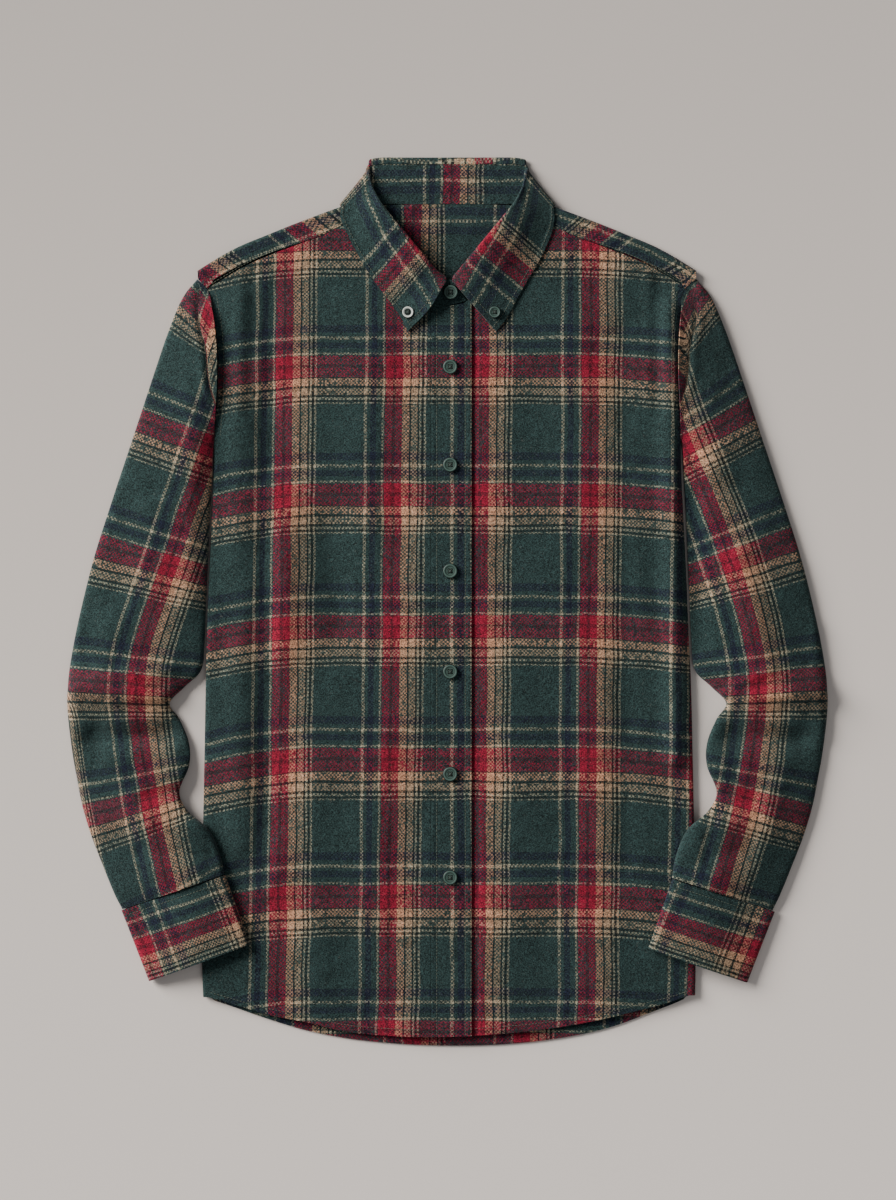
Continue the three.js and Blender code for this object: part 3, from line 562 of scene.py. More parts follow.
# Rings of the pale-rimmed button. The pale ring is its own colour, the dark inner ring is painted shade in
# the groove, and the dark outer edge is a painted contact shadow.
PALE_RINGS_WITH_PAINTED_SHADE = ((0.2, (70, 80, 76)), (0.4, (20, 30, 28)), (0.56, (60, 72, 68)), (0.66, (205, 210, 202)),
              (0.86, (214, 218, 210)), (0.93, (60, 76, 70)), (1.0, (12, 18, 17)))
FLANNEL = flannel_material("brushed check flannel")
THREAD = thread_material("grey green sewing thread", (104, 110, 94))
BUTTON_THREAD = thread_material("button thread", (70, 84, 76))
RESIN = button_material("dark green resin", DARK_RINGS_WITH_PAINTED_LIGHT)
RIMMED = button_material("dark resin with a pale rim", PALE_RINGS_WITH_PAINTED_SHADE)


# Panels of the body

# Half widths of a front: at its top, at its hem, and at most, up to the round of its side
FRONT_TOP, FRONT_HEM, FRONT_REACH = 209, 216, 209.5
# Where the check starts on the back panel and on the back of the yoke
BACK_WARP = 39.0
ROUND_ANGLES = np.radians(np.linspace(0, 90, 8))


def side_columns(side, y, level_at, seam_level):
    """The end of each row of a panel: round to the side seam, or flat at the armhole."""
    share = smooth((ARMPIT - y) / 15)[:, None]
    margin = mix(ARMHOLE_GAP, CLOTH / 2, share)
    x = side_x(side, y)[:, None] - side * (margin + SIDE_ROUND * (1 - np.sin(ROUND_ANGLES))[None])
    y = np.broadcast_to(y[:, None], x.shape)
    level = level_at(x, y)
    z = level + (seam_level - level) * share * (1 - np.cos(ROUND_ANGLES))[None]
    return together(x, y, z)


def front_grain(side, points):
    x, y = points[..., 0], points[..., 1]
    if side < 0:
        dip = 9.4 * (np.maximum(0, -x - 110) / 90) ** 2
        warp = x + 154.4 + 0.011 * (221 - y)
    else:
        dip = 4.0 * (np.maximum(0, x - 110) / 80) ** 2
        warp = x - 22.0 + 0.006 * (221 - y)
    return together(warp, weft_at(y + dip))


def build_back():
    rows, columns = 90, 90
    share = np.linspace(0, 1, rows)
    top = BACK_YOKE_SEAM - SEAM_GAP / 2
    seam = SIDE_SEAM_LEVEL - SIDE_SEAM_GAP / 2
    left = side_columns(-1, mix(top, HEM[0, 2], share), back_z, seam)[:, ::-1]
    right = side_columns(1, mix(top, HEM[-1, 2], share), back_z, seam)
    across = np.linspace(0, 1, columns)[1:-1]
    x = mix(left[:, -1:, 0], right[:, :1, 0], across[None])
    y = mix(top, hem_y(x, 2), share[:, None])
    points = np.concatenate([left, together(x, y, back_z(x, y)), right], axis=1)
    grain = together(points[..., 0] + BACK_WARP, weft_at(points[..., 1] + 12))
    return cloth("back_panel", points, grain, CLOTH, FLANNEL)


def front_top_edge(side, inner_x):
    starts = (inner_x, 0, 15) if side > 0 else (inner_x,)
    edge = [(x, float(neck_seam(x)) - SEAM_GAP) for x in starts]
    for k in range(2, len(COLLAR)):
        (x, y), (top_x, top_y) = COLLAR[k][0], COLLAR[k][1]
        away = np.array([x - abs(top_x), y - top_y])
        away /= np.linalg.norm(away)
        edge.append((side * (x + away[0] * SEAM_GAP + (SEAM_GAP if k > 4 else 0)), y + away[1] * SEAM_GAP))
    for x, _, seam in SHOULDER[3:]:
        edge.append((side * x, seam - SHOULDER_GAP / 2))
    return np.array(edge, float)


def build_front(name, side, inner_x, level_at):
    edge = front_top_edge(side, inner_x)
    rows, columns = 180, 96
    share = np.linspace(0, 1, rows)[:, None]
    index = np.linspace(0, len(edge) - 1, columns)
    knots = np.arange(len(edge))
    top_x, top_y = flow(knots, edge[:, 0], index), flow(knots, edge[:, 1], index)
    top_y = np.where(np.abs(top_x) > SHOULDER[3, 0], shoulder_seam(top_x) - SHOULDER_GAP / 2, top_y)
    top_share = (top_x - inner_x) / (side * FRONT_TOP - inner_x)
    part = mix(top_share[None], (index / index[-1])[None], smooth(share / 0.3))
    hem_x = inner_x + part * (side * FRONT_HEM - inner_x)
    y = mix(top_y[None], hem_y(hem_x), share)
    reach = np.minimum(np.abs(side_x(side, y) - side * (SIDE_ROUND + 1)), FRONT_REACH) * side
    x = inner_x + part * (reach - inner_x)
    inside = together(x, y, level_at(x, y))[:, :-1]
    seam_y = mix(edge[-1, 1], float(hem_y(side * 221.0)), share[:, 0])
    outside = side_columns(side, seam_y, level_at, SIDE_SEAM_LEVEL + SIDE_SEAM_GAP / 2)
    points = np.concatenate([inside, outside], axis=1)
    return cloth(name, points, front_grain(side, points), CLOTH, FLANNEL)


def build_placket():
    x = np.linspace(PLACKET_LEFT + SEAM_GAP / 2, PLACKET_RIGHT, 26)[None]
    share = np.linspace(0, 1, 200)[:, None]
    y = mix(neck_seam(x) - SEAM_GAP - 0.1, hem_y(x), share)
    x = np.broadcast_to(x, y.shape)
    from_edge = np.minimum(x - PLACKET_LEFT, PLACKET_RIGHT - x)
    puff = 0.28 * swell(from_edge, 2.2, 1.8) - 0.22 * swell(from_edge, 5.2, 1.0)
    ripple = 0.12 * np.sin(y / 7.0) * swell(from_edge, 0, 6)
    points = together(x, y, PLACKET_LEVEL + 0.15 + puff + ripple)
    grain = together(81.4 + (x - 3.8) * 0.87, weft_at(y))
    return cloth("button_placket", points, grain, FOLDED_BAND, FLANNEL)


# Yoke: along is under 0 on the front of the shoulder, over 0 on its back

def yoke_radius(x0, fold):
    return (front_z(x0, fold - 6) - back_z(x0, fold - 6)) / 2


def yoke_reach(x0, y, front):
    fold = shoulder_fold(x0)
    radius = yoke_radius(x0, fold)
    straight = fold - CLOTH / 2 - radius - y
    bent = radius * np.arccos(np.clip(1 - (fold - CLOTH / 2 - y) / radius, -1, 1))
    reach = np.where(straight > 0, straight + radius * math.pi / 2, bent)
    return -reach if front else reach


def yoke_points(share, x0, along):
    fold = shoulder_fold(x0)
    top, bottom = front_z(x0, fold - 6), back_z(x0, fold - 6)
    radius = (top - bottom) / 2
    turn = along / radius
    bending = np.abs(turn) < math.pi / 2
    y = fold - CLOTH / 2 - np.where(
        bending, radius * (1 - np.cos(turn)), radius + np.abs(along) - radius * math.pi / 2
    )
    edge = side_beside(x0, y) - np.sign(x0) * ARMHOLE_GAP
    wide = smooth((np.abs(share) - 0.33) / 0.6)
    x = mix(x0, share * np.abs(edge), wide)
    flat = np.where(along < 0, front_z(x, y), back_z(x, y))
    z = np.where(bending, (top + bottom) / 2 - radius * np.sin(turn), flat)
    return together(x, y, z)


# Warp on the front of the yoke: distance from the middle, place in the check
YOKE_LEFT = np.array([
    (70, 50), (98, 36.9), (131, 15.2), (146, 0), (160, -17.3), (192, -61.9), (228, -98.8),
], float)
YOKE_RIGHT = np.array([
    (70, 80), (118, 36.9), (136, 15.2), (151, 0), (166, -17.3), (204, -61.9), (233, -83.6),
], float)


def build_yoke():
    # Edge of the yoke at the back of the neck: x, y
    half = [(0, 357.6), (15, 357.6), (30, 357.6), (43, 357.3), (55, 357), (64, 355.2), (70.6, 351.5)]
    outward = np.concatenate([[72.5, 76, 82, 88], np.linspace(94, 216, 40)])
    ends = [(x, y, False) for x, y in half]
    ends += [(x, float(shoulder_seam(x)) + SHOULDER_GAP / 2, True) for x in outward]
    right = [(x, float(yoke_reach(np.float64(x), y, front))) for x, y, front in ends]
    left = [(-x, float(yoke_reach(np.float64(-x), y, front))) for x, y, front in ends[1:]]
    x0, start = np.array(left[::-1] + right).T
    end = yoke_reach(x0, BACK_YOKE_SEAM + SEAM_GAP / 2, False)
    front, bend, back = np.linspace(0, 1, 12), np.linspace(0, 1, 14), np.linspace(0, 1, 24)
    turned = 4.0
    long = np.concatenate([
        mix(start[None], -turned, front[:-1, None]),
        mix(-turned, turned, bend[:-1, None]) + 0 * start[None],
        mix(turned, end[None], back[:, None]),
    ])
    short = mix(start[None], end[None], np.linspace(0, 1, len(long))[:, None] ** 1.3)
    along = np.where(start[None] < -turned, long, short)
    points = yoke_points((x0 / 216)[None], np.broadcast_to(x0[None], along.shape), along)
    x, y = points[..., 0], points[..., 1]
    leaning = np.abs(x) + 0.8 * np.maximum(0, shoulder_fold(x) - y)
    right = np.interp(leaning, YOKE_RIGHT[:, 0], YOKE_RIGHT[:, 1])
    left = np.interp(leaning, YOKE_LEFT[:, 0], YOKE_LEFT[:, 1])
    warp = np.where(along < 0, np.where(x < 0, left, right), x + BACK_WARP)
    line = np.where(x < 0, 16.0, 7.0)
    weft = np.where(along < 0, 102.0 - line - along, 102.0 - np.abs(342.5 - y))
    return cloth("yoke_panel", points, together(warp, weft), CLOTH, FLANNEL)


# Collar

def collar_columns(per_step=5):
    """Neck seam, stand top, leaf edge and turn, from the left front end to the right one."""
    halves = []
    for side in (-1, 1):
        half = []
        for k, (neck, top, left_edge, right_edge) in enumerate(COLLAR):
            neck = np.array([side * neck[0], neck[1]], float)
            top = np.array([side * abs(top[0]), top[1]], float)
            if k == 0:
                top[0] = -1.5 if side < 0 else 5.0
            under = (1 - float(smooth((COLLAR[k][0][0] - 18) / 25))) if side > 0 else 0.0
            seam_z = mix(float(front_z(*neck)), UNDERLAP_LEVEL, under)
            shoulder = float(smooth((top[1] - 345) / 40))
            top_z = mix(mix(STAND_TOP_LEVEL, 5.9, under), 5.3, shoulder)
            top_z += ROLL_LIFT * float(smooth(k / 2.5) * smooth((6.6 - k) / 2.4))
            stand = mix(top, neck, 1.5 / np.hypot(*(top - neck)))
            edge = left_edge if side < 0 else right_edge
            half.append((*neck, seam_z, *stand, top_z, *edge, 90.0))
        for degrees in (60, 30, 0, -30, -60, -90):
            angle = math.radians(degrees)
            back = (1 - math.sin(angle)) / 2
            half.append((
                side * (NECK_HALF_WIDTH + 1.2 * math.cos(angle)), mix(349, 356.5, back), mix(5.4, 2.9, back),
                side * (69 + 1.5 * math.cos(angle)), mix(384, 392, back), mix(5.3, 3.05, back),
                side * (93.5 + 3.2 * math.cos(angle)), mix(352.5, 351, back) + 5.5 * math.cos(angle), degrees,
            ))
        for share in (0.72, 0.45, 0.2):
            half.append((side * share * 80, 358, 2.9, side * share * 82, 393.5, 3.05,
                         side * share * 110, LEAF_BACK_EDGE, -90.0))
        halves.append(half)
    knots = np.array(halves[0] + halves[1][::-1], float)
    index = np.linspace(0, len(knots) - 1, (len(knots) - 1) * per_step + 1)
    fine = flow_all(np.arange(len(knots)), knots, index)
    fine[:, 8] = np.interp(index, np.arange(len(knots)), knots[:, 8])
    return index, fine


def build_stand():
    _, columns = collar_columns(4)
    left_end = np.array([[17, 270.6, PLACKET_LEVEL, 4, 288.6, 7.8, 0, 0, 90]], float)
    right_end = np.array([[-13, 268.4, UNDERLAP_LEVEL, -3, 290, 5.9, 0, 0, 90]], float)

    def run(a, b, count=7):
        return mix(a, b, np.linspace(0, 1, count)[:-1, None])

    columns = np.concatenate([run(left_end, columns[:1]), columns, run(right_end, columns[-1:])[::-1]])
    rise = np.linspace(0, 1, 14)[:, None, None]
    neck, top = columns[None, :, 0:3], columns[None, :, 3:6]
    points = mix(neck, top, rise)
    length = np.linalg.norm((top - neck)[..., :2], axis=-1)
    from_top = (1 - rise[..., 0]) * length
    points[..., 2] -= 0.18 * swell(from_top, 3.5, 1.2)
    at_front = smooth((335 - points[..., 1]) / 40)
    warp = points[..., 0] + 4.0 + 52 * at_front
    weft = points[..., 1] - 276.7 + 60 * at_front
    return cloth("neck_band", points, together(warp, weft), COLLAR_CLOTH, FLANNEL)


# Roll of the collar over the stand: distance past the stand's edge, height
FRONT_ROLL = np.array([
    (1.25, -0.3), (1.75, 0.4), (1.85, 1.2), (1.4, 1.95), (0.4, 2.35), (-1, 2.45), (-2, 2.45),
])
BACK_ROLL = np.array([(0.4, 0), (5, 0.1), (5.7, 0.5), (5.95, 1.2), (5.7, 1.9), (5, 2.3), (-2, 2.4)])
# Warp along the collar: column, place in the check
LEAF_WARP = np.array([
    (0, 64), (1.6, 36.9), (2.25, 15.2), (2.9, 0), (3.75, -17.3), (7, -67), (12, -95.8), (15.5, -164.8),
    (19, -233.8), (24, -211.5), (26.85, -259.5), (27.75, -281.2), (28.6, -296.4), (29.3, -313.7), (31, -342),
], float)


def leaf_points(columns):
    neck, top, edge, degrees = columns[:, 0:2], columns[:, 3:6], columns[:, 6:8], columns[:, 8]
    turn = np.radians(degrees)
    up = top[:, :2] - neck
    up /= np.linalg.norm(up, axis=1, keepdims=True)
    side = np.where(top[:, 0] < 0, -1.0, 1.0)
    away = np.stack([side * np.cos(turn), 0 * turn, np.sin(turn)], axis=1)
    at_back = smooth((-60 - degrees) / 30)[:, None, None]
    path = mix(FRONT_ROLL[None], BACK_ROLL[None], at_back)
    flat_up = np.concatenate([up, 0 * up[:, :1]], axis=1)
    rolled = top[:, None] + flat_up[:, None] * path[..., :1] + away[:, None] * path[..., 1:]
    steps = 1 - np.array([0.86, 0.74, 0.62, 0.5, 0.39, 0.29, 0.21, 0.16, 0.13, 0.105, 0.08, 0.05, 0.025, 0.0])
    start = rolled[:, -1]
    x = mix(start[:, None, 0], edge[:, None, 0], steps[None])
    y = mix(start[:, None, 1], edge[:, None, 1], steps[None])
    # The front edge of the left leaf bends out a little
    bulge = 3.4 * np.maximum(0, 1 - np.arange(len(columns)) / 9)[:, None] * np.sin(np.pi * steps)[None] ** 1.5
    x, y = x + 0.82 * bulge, y - 0.57 * bulge
    # Both front edges stand up a little at the throat
    first = np.maximum(0, 1 - np.arange(len(columns)) / 8)[:, None]
    lift = (5.6 * first + 3.2 * first[::-1]) * np.sin(np.pi * steps ** 0.55)[None]
    above = front_z(x, y) + CLOTH / 2 + COLLAR_CLOTH / 2 + SEAM_GAP
    rest = mix(COLLAR_CLOTH / 2, above, (1 + np.sin(turn))[:, None] / 2)
    z = mix(start[:, None, 2], rest, smooth(steps)[None]) + lift
    length = np.hypot(*(edge - start[:, :2]).T)
    from_edge = (1 - steps)[None] * length[:, None]
    upper = np.clip((degrees[:, None] + 90) / 120, 0, 1)
    puff = 0.25 * swell(from_edge, 2.4, 1.8) - 0.2 * swell(from_edge, STITCH_INSET, 1.0)
    z = z + upper * puff
    return np.concatenate([rolled, together(x, y, z)], axis=1)


def build_leaf():
    index, columns = collar_columns(6)
    points = leaf_points(columns)
    gaps = np.linalg.norm(np.diff(points, axis=1), axis=2)
    summed = np.cumsum(gaps[:, ::-1], axis=1)[:, ::-1]
    from_edge = np.concatenate([summed, np.zeros((len(points), 1))], axis=1)
    place = np.interp(index, LEAF_WARP[:, 0], LEAF_WARP[:, 1])
    warp = np.broadcast_to(place[:, None], from_edge.shape)
    at_back = smooth((5.2 - np.abs(index - 15.5)) / 2)[:, None]
    grain = together(warp, 70.7 + from_edge * (1 - 0.42 * at_back))
    return cloth("collar_fold", points, grain, COLLAR_CLOTH, FLANNEL), points


# Sleeves and cuffs

# The rounded ends of a flat tube: distance from its fold, share of its height
END_INSETS = np.array([0, 0.35, 0.9, 1.9, 3.5])
END_HEIGHTS = np.array([0, 0.42, 0.7, 0.91, 1.0])
# Distance between the layers of a sleeve where it lies flat, the least distance, and its round
LAYERS_APART, CLOSEST_LAYERS, SLEEVE_PUFF = 3.95, 1.8, 6.0
CUFF_LAYERS_APART, CUFF_PUFF = 4.0, 2.6
# Columns over the top of a sleeve, over the top of a cuff, and underneath
OVER_COUNT, CUFF_OVER_COUNT, UNDER_COUNT = 44, 36, 16


def tube_rings(outer, inner, bow, layers, wall, over_count):
    """Rings of a flat tube: over the top from its outer fold to its inner fold, then underneath."""
    length = np.hypot(*(inner - outer).T)[:, None]
    end = (END_INSETS[None] + wall / 2) / length
    low, high = end[:, -1:], 1 - end[:, -1:]

    def across(count):
        middle = mix(low, high, np.linspace(0, 1, count)[None, 1:-1])
        return np.concatenate([end, middle, 1 - end[:, ::-1]], axis=1)

    def heights(count):
        return np.concatenate([END_HEIGHTS, np.ones(count - 2), END_HEIGHTS[::-1]])[None]

    def place(share, height, sign):
        x = mix(outer[:, :1], inner[:, :1], share) + bow(share)
        y = mix(outer[:, 1:], inner[:, 1:], share)
        middle = arm_lift(x, y) + wall / 2 + LAYERS_APART / 2
        if sign > 0:
            z = middle + height * (layers(x, y, share) - LAYERS_APART / 2)
        else:
            z = middle - height * LAYERS_APART / 2
        return together(x, y, z)

    over_share, under_share = across(over_count), across(UNDER_COUNT)
    over = place(over_share, heights(over_count), 1)
    under = place(under_share, heights(UNDER_COUNT), -1)[:, 1:-1][:, ::-1]
    shares = np.concatenate([over_share, under_share[:, 1:-1][:, ::-1], over_share[:, :1]], axis=1)
    return np.concatenate([over, under], axis=1), shares, length


def sleeve_layers(x, y, share):
    """Distance between the two layers of a sleeve, which stands a little round."""
    near = np.clip((290 - y) / 30, 0, 1) * smooth((y + 292) / 40)
    puff = SLEEVE_PUFF * np.sin(np.pi * np.clip(share, 0, 1)) ** 0.8
    return np.maximum(LAYERS_APART + relief(x, y) + puff * near + tuck_relief(x, y), CLOSEST_LAYERS)


# Check on each sleeve: repeat, outer x and y, inner x and y, and how far from the outer fold
# the long red stripe starts (on the right sleeve it runs back towards that fold)
LEFT_SLEEVE_CHECK = np.array([
    (-0.4, -205, 316, -190, 302, 62), (0, -231.5, 283, -211, 262, 62), (1, -275, 173, -212, 149, 62),
    (2, -312, 60, -217.2, 33, 60), (3, -340, -60, -230, -70, 54), (4, -329, -183, -237, -160.7, 54),
    (5, -283, -300, -197, -250, 36), (5.4, -265, -345, -180, -290, 30),
], float)
RIGHT_SLEEVE_CHECK = np.array([
    (-0.4, -205, 325, -190, 302, 84), (0, -229, 292, -211, 262, 84), (1, -271, 184, -212, 149, 79),
    (2, -310, 67, -217.2, 33, 71), (3, -340, -58, -230, -70, 70), (4, -329, -183, -237, -160.7, 70),
    (5, -289, -290, -197, -262, 60), (5.4, -275, -335, -182, -305, 54),
], float)

SLEEVE_LINES = 400
# The cream line beside each long red stripe, from the start of the red
CREAM_LINE = -17.3

# Tuck of cloth beside the armhole: y, width
TUCK = np.array([(178, 0), (192, 6), (229, 10.5), (255, 14), (279.5, 8), (292, 0)], float)


def past_armhole(x, y):
    """How far a point is outside the armhole's seam, and the width of the tuck there."""
    beyond = np.abs(x) - np.abs(side_beside(x, y)) - ARMHOLE_GAP
    return beyond, flow(TUCK[:, 0], TUCK[:, 1], y)


def armhole_tuck(x, y):
    """How far a point is inside the tuck, from 0 to 1, and its distance from the seam."""
    beyond, width = past_armhole(x, y)
    return smooth((width - beyond) / 1.6 + 0.5) * ((y > TUCK[0, 0]) & (y < TUCK[-1, 0])), beyond


def tuck_relief(x, y):
    beyond, width = past_armhole(x, y)
    strength = smooth((y - 176) / 16) * smooth((296 - y) / 14)
    return strength * (0.9 * swell(beyond - width, 5, 3.6) - 1.2 * swell(beyond - width, 0, 1.8))


def sleeve_grain(side, x, y, under):
    table = LEFT_SLEEVE_CHECK if side < 0 else RIGHT_SLEEVE_CHECK
    repeat = np.linspace(table[0, 0], table[-1, 0], SLEEVE_LINES)
    lines = flow_all(table[:, 0], table[:, 1:], repeat)
    start, end, stripe = lines[:, 0:2], lines[:, 2:4], lines[:, 4]
    width = np.hypot(*(end - start).T)
    unit = (end - start) / width[:, None]
    warp, weft = np.zeros(x.shape), np.zeros(x.shape)
    for row in range(len(x)):
        dx = x[row][:, None] - start[None, :, 0]
        dy = y[row][:, None] - start[None, :, 1]
        aside = unit[None, :, 0] * dy - unit[None, :, 1] * dx
        along = unit[None, :, 0] * dx + unit[None, :, 1] * dy
        outside = np.maximum(0, np.maximum(-0.1 - along / width, along / width - 1.1))
        best = np.argmin(np.abs(aside) + 1000 * outside, axis=1)
        pick = np.arange(x.shape[1])
        step = aside[pick, best] - aside[pick, np.minimum(best + 1, SLEEVE_LINES - 1)]
        extra = np.clip(aside[pick, best] / np.where(np.abs(step) < 1e-6, 1, step), -0.5, 0.5)
        weft[row] = (repeat[best] + extra * (repeat[1] - repeat[0])) * WEFT_REPEAT
        across = along[pick, best]
        if side > 0:
            warp[row] = np.where(under, stripe[best] + across, np.minimum(stripe[best] - across, 79))
            continue
        # The left forearm is twisted, so that its outer fold shows the next tan stripes
        squeeze = 1 + 0.6 * smooth((repeat[best] - 3.0) / 0.4)
        place = across - stripe[best]
        place = np.where(place < CREAM_LINE, CREAM_LINE + (place - CREAM_LINE) * squeeze, place)
        warp[row] = np.where(under, -across - stripe[best], np.minimum(place, 78))
    return warp, weft


def build_sleeve(name, side):
    index = np.linspace(0, len(SLEEVE) - 1, 170)
    table = flow_all(np.arange(len(SLEEVE)), SLEEVE, index)
    start = SLEEVE[0]
    extra = np.where(index > 0.5, 1.0, 0.0) if side > 0 else 0 * index
    longer = smooth(index - 17) if side > 0 else 0 * index
    outer = np.stack([-side * table[:, 0], table[:, 1] - 0.8 * longer], axis=1)
    inner = np.stack([-side * table[:, 2] + extra, table[:, 3] - 3.2 * longer], axis=1)
    strength = np.maximum(0, 1 - index / 4)[:, None]

    def bow(share):
        y = mix(start[1], start[3], share)
        seam = np.abs(side_x(side, y)) + ARMHOLE_GAP
        straight = np.abs(mix(start[0], start[2], share))
        return side * (seam - straight) * strength

    points, shares, _ = tube_rings(outer, inner, bow, sleeve_layers, CLOTH, OVER_COUNT)
    under = np.arange(shares.shape[1]) >= OVER_COUNT + 2 * len(END_INSETS) - 2
    around = np.concatenate([points, points[:, :1]], axis=1)
    warp, weft = sleeve_grain(side, around[..., 0] * -side, around[..., 1], under)
    near, tuck = armhole_tuck(around[..., 0], around[..., 1])
    near = near * ~under
    warp = warp + near * (44 - 0.5 * tuck if side < 0 else -12)
    weft = weft + near * 0.7 * tuck
    return cloth(name, points, together(warp, weft), CLOTH, FLANNEL, ring=True)


def build_cuff(name, side):
    outer, inner, outer_end, inner_end = (np.array(corner, float) for corner in CUFF)
    share = np.linspace(0, 1, 26)[:, None]
    shift = 2.5 if side > 0 else 0.0
    outer = mix(outer, outer_end, share) * (-side, 1) + (shift * 0.5, -shift * 0.5)
    inner = mix(inner, inner_end, share) * (-side, 1) + (shift, -shift * 1.5)
    depth = np.linalg.norm(np.subtract(CUFF[2], CUFF[0])) * share

    def straight(share):
        return 0 * share

    def layers(x, y, share):
        edge = np.minimum(depth, depth[-1] - depth)
        puff = 0.3 * swell(edge, 2.4, 1.8) - 0.25 * swell(edge, STITCH_INSET, 1.1)
        round_over = CUFF_PUFF * np.sin(np.pi * np.clip(share, 0, 1))
        return CUFF_LAYERS_APART + puff + 0.7 * np.sin(np.pi * depth / depth[-1]) + round_over + 0 * x

    points, shares, length = tube_rings(outer, inner, straight, layers, FOLDED_BAND, CUFF_OVER_COUNT)
    warp = np.broadcast_to(69 + depth, shares.shape)
    weft = 18 - shares * length * 1.13 if side < 0 else 9.6 + shares * length * 1.02
    grain = together(warp, weft)
    return cloth(name, points, grain, FOLDED_BAND, FLANNEL, ring=True), points


# Buttons

def turned_mesh(name, profile, sides, material):
    """A turned body about Z, closed at both ends."""
    angle = np.arange(sides) * 2 * math.pi / sides
    vertices, faces = [], []
    for r, z in profile:
        vertices += [(r * math.cos(a), r * math.sin(a), z) for a in angle]
    bottom, top = len(vertices), len(vertices) + 1
    vertices += [(0, 0, profile[0][1]), (0, 0, profile[-1][1])]
    for i in range(len(profile) - 1):
        for k in range(sides):
            n = (k + 1) % sides
            faces.append((i * sides + k, i * sides + n, (i + 1) * sides + n, (i + 1) * sides + k))
    last = (len(profile) - 1) * sides
    for k in range(sides):
        n = (k + 1) % sides
        faces.append((bottom, n, k))
        faces.append((last + k, last + n, top))
    mesh = mesh_of(name, vertices, [], faces, material)
    mesh.polygons.foreach_set("use_smooth", [True] * len(mesh.polygons))
    return link(name, mesh)


def finished_mesh(piece):
    """The piece with its modifiers made part of its mesh."""
    bpy.context.view_layer.update()
    evaluated = piece.evaluated_get(bpy.context.evaluated_depsgraph_get())
    mesh = bpy.data.meshes.new_from_object(evaluated)
    piece.modifiers.clear()
    piece.data = mesh
    return piece


def button_body(name, diameter, material):
    """A button with a raised rim and four holes, that knows how far each point is from its middle."""
    r, t = diameter / 2, BUTTON_THICKNESS
    profile = [
        (r * 0.7, 0), (r * 0.86, t * 0.06), (r * 0.96, t * 0.22), (r, t * 0.42), (r * 0.985, t * 0.68),
        (r * 0.94, t * 0.88), (r * 0.87, t * 0.98), (r * 0.8, t), (r * 0.73, t * 0.95), (r * 0.66, t * 0.88),
        (r * 0.58, t * 0.83), (r * 0.45, t * 0.82), (r * 0.25, t * 0.8),
    ]
    body = turned_mesh(name, profile, 40, material)
    spread = r * 0.24
    for k, (x, y) in enumerate(((1, 1), (1, -1), (-1, 1), (-1, -1))):
        drill = turned_mesh(f"{name}_drill_{k}", [(BUTTON_HOLE, -1), (BUTTON_HOLE, 4)], 14, material)
        drill.data.transform(Matrix.Translation((x * spread * MM, y * spread * MM, 0)))
        cut = body.modifiers.new(f"hole_{k}", "BOOLEAN")
        cut.operation = "DIFFERENCE"
        cut.solver = "EXACT"
        cut.object = drill
    finished_mesh(body)
    for k in range(4):
        bpy.data.objects.remove(bpy.data.objects[f"{name}_drill_{k}"])
    places = np.array([v.co for v in body.data.vertices])
    share = np.hypot(places[:, 0], places[:, 1]) / (r * MM)
    attribute = body.data.attributes.new("from_centre", "FLOAT", "POINT")
    attribute.data.foreach_set("value", share.astype(np.float32))
    body.data.set_sharp_from_angle(angle=SHARP_FROM)
    return body


class Planter:
    """A geometry tree that plants one thing on each point and gives it a material."""

    def __init__(self, name, inputs):
        self.tree = bpy.data.node_groups.new(name, "GeometryNodeTree")
        interface = self.tree.interface
        interface.new_socket("Geometry", in_out="INPUT", socket_type="NodeSocketGeometry")
        self.sockets = {}
        for label, kind in inputs:
            self.sockets[label] = interface.new_socket(label, in_out="INPUT", socket_type=kind).identifier
        interface.new_socket("Geometry", in_out="OUTPUT", socket_type="NodeSocketGeometry")
        self.nodes = Nodes(self.tree)
        self.start = self.nodes.add("NodeGroupInput").outputs

    def plant(self, points, instance, **more):
        inputs = {"Points": points, "Instance": instance, **more}
        place = self.nodes.add("GeometryNodeInstanceOnPoints", inputs).outputs[0]
        real = self.nodes.add("GeometryNodeRealizeInstances", {0: place}).outputs[0]
        inputs = {"Geometry": real, "Material": self.start["Material"]}
        finish = self.nodes.add("GeometryNodeSetMaterial", inputs).outputs[0]
        self.nodes.add("NodeGroupOutput", {0: finish})

    def grow(self, name, vertices, edges, **values):
        """A piece that the tree makes from a mesh of points or edges, kept as a plain mesh."""
        piece = link(name, mesh_of(name, vertices, edges, []))
        modifier = piece.modifiers.new("planter", "NODES")
        modifier.node_group = self.tree
        for label, value in values.items():
            modifier[self.sockets[label]] = value
        return finished_mesh(piece)


def stitch_planter():
    """Short threads along the edges of a mesh, one every pitch."""
    stitches = Planter("run of stitches", [
        ("Pitch", "NodeSocketFloat"), ("Size", "NodeSocketVector"), ("Material", "NodeSocketMaterial"),
    ])
    nodes, start = stitches.nodes, stitches.start
    curve = nodes.add("GeometryNodeMeshToCurve", {"Mesh": start["Geometry"]}).outputs[0]
    even = nodes.add("GeometryNodeResampleCurve", {"Curve": curve, "Length": start["Pitch"]}, mode="LENGTH")
    ball = nodes.add("GeometryNodeMeshUVSphere", {"Segments": 6, "Rings": 4, "Radius": 0.5})
    tangent = nodes.add("GeometryNodeInputTangent").outputs[0]
    aim = nodes.add("FunctionNodeAlignRotationToVector", {"Vector": tangent}, axis="X")
    stitches.plant(even.outputs[0], ball.outputs["Mesh"], Rotation=aim.outputs[0], Scale=start["Size"])
    return stitches


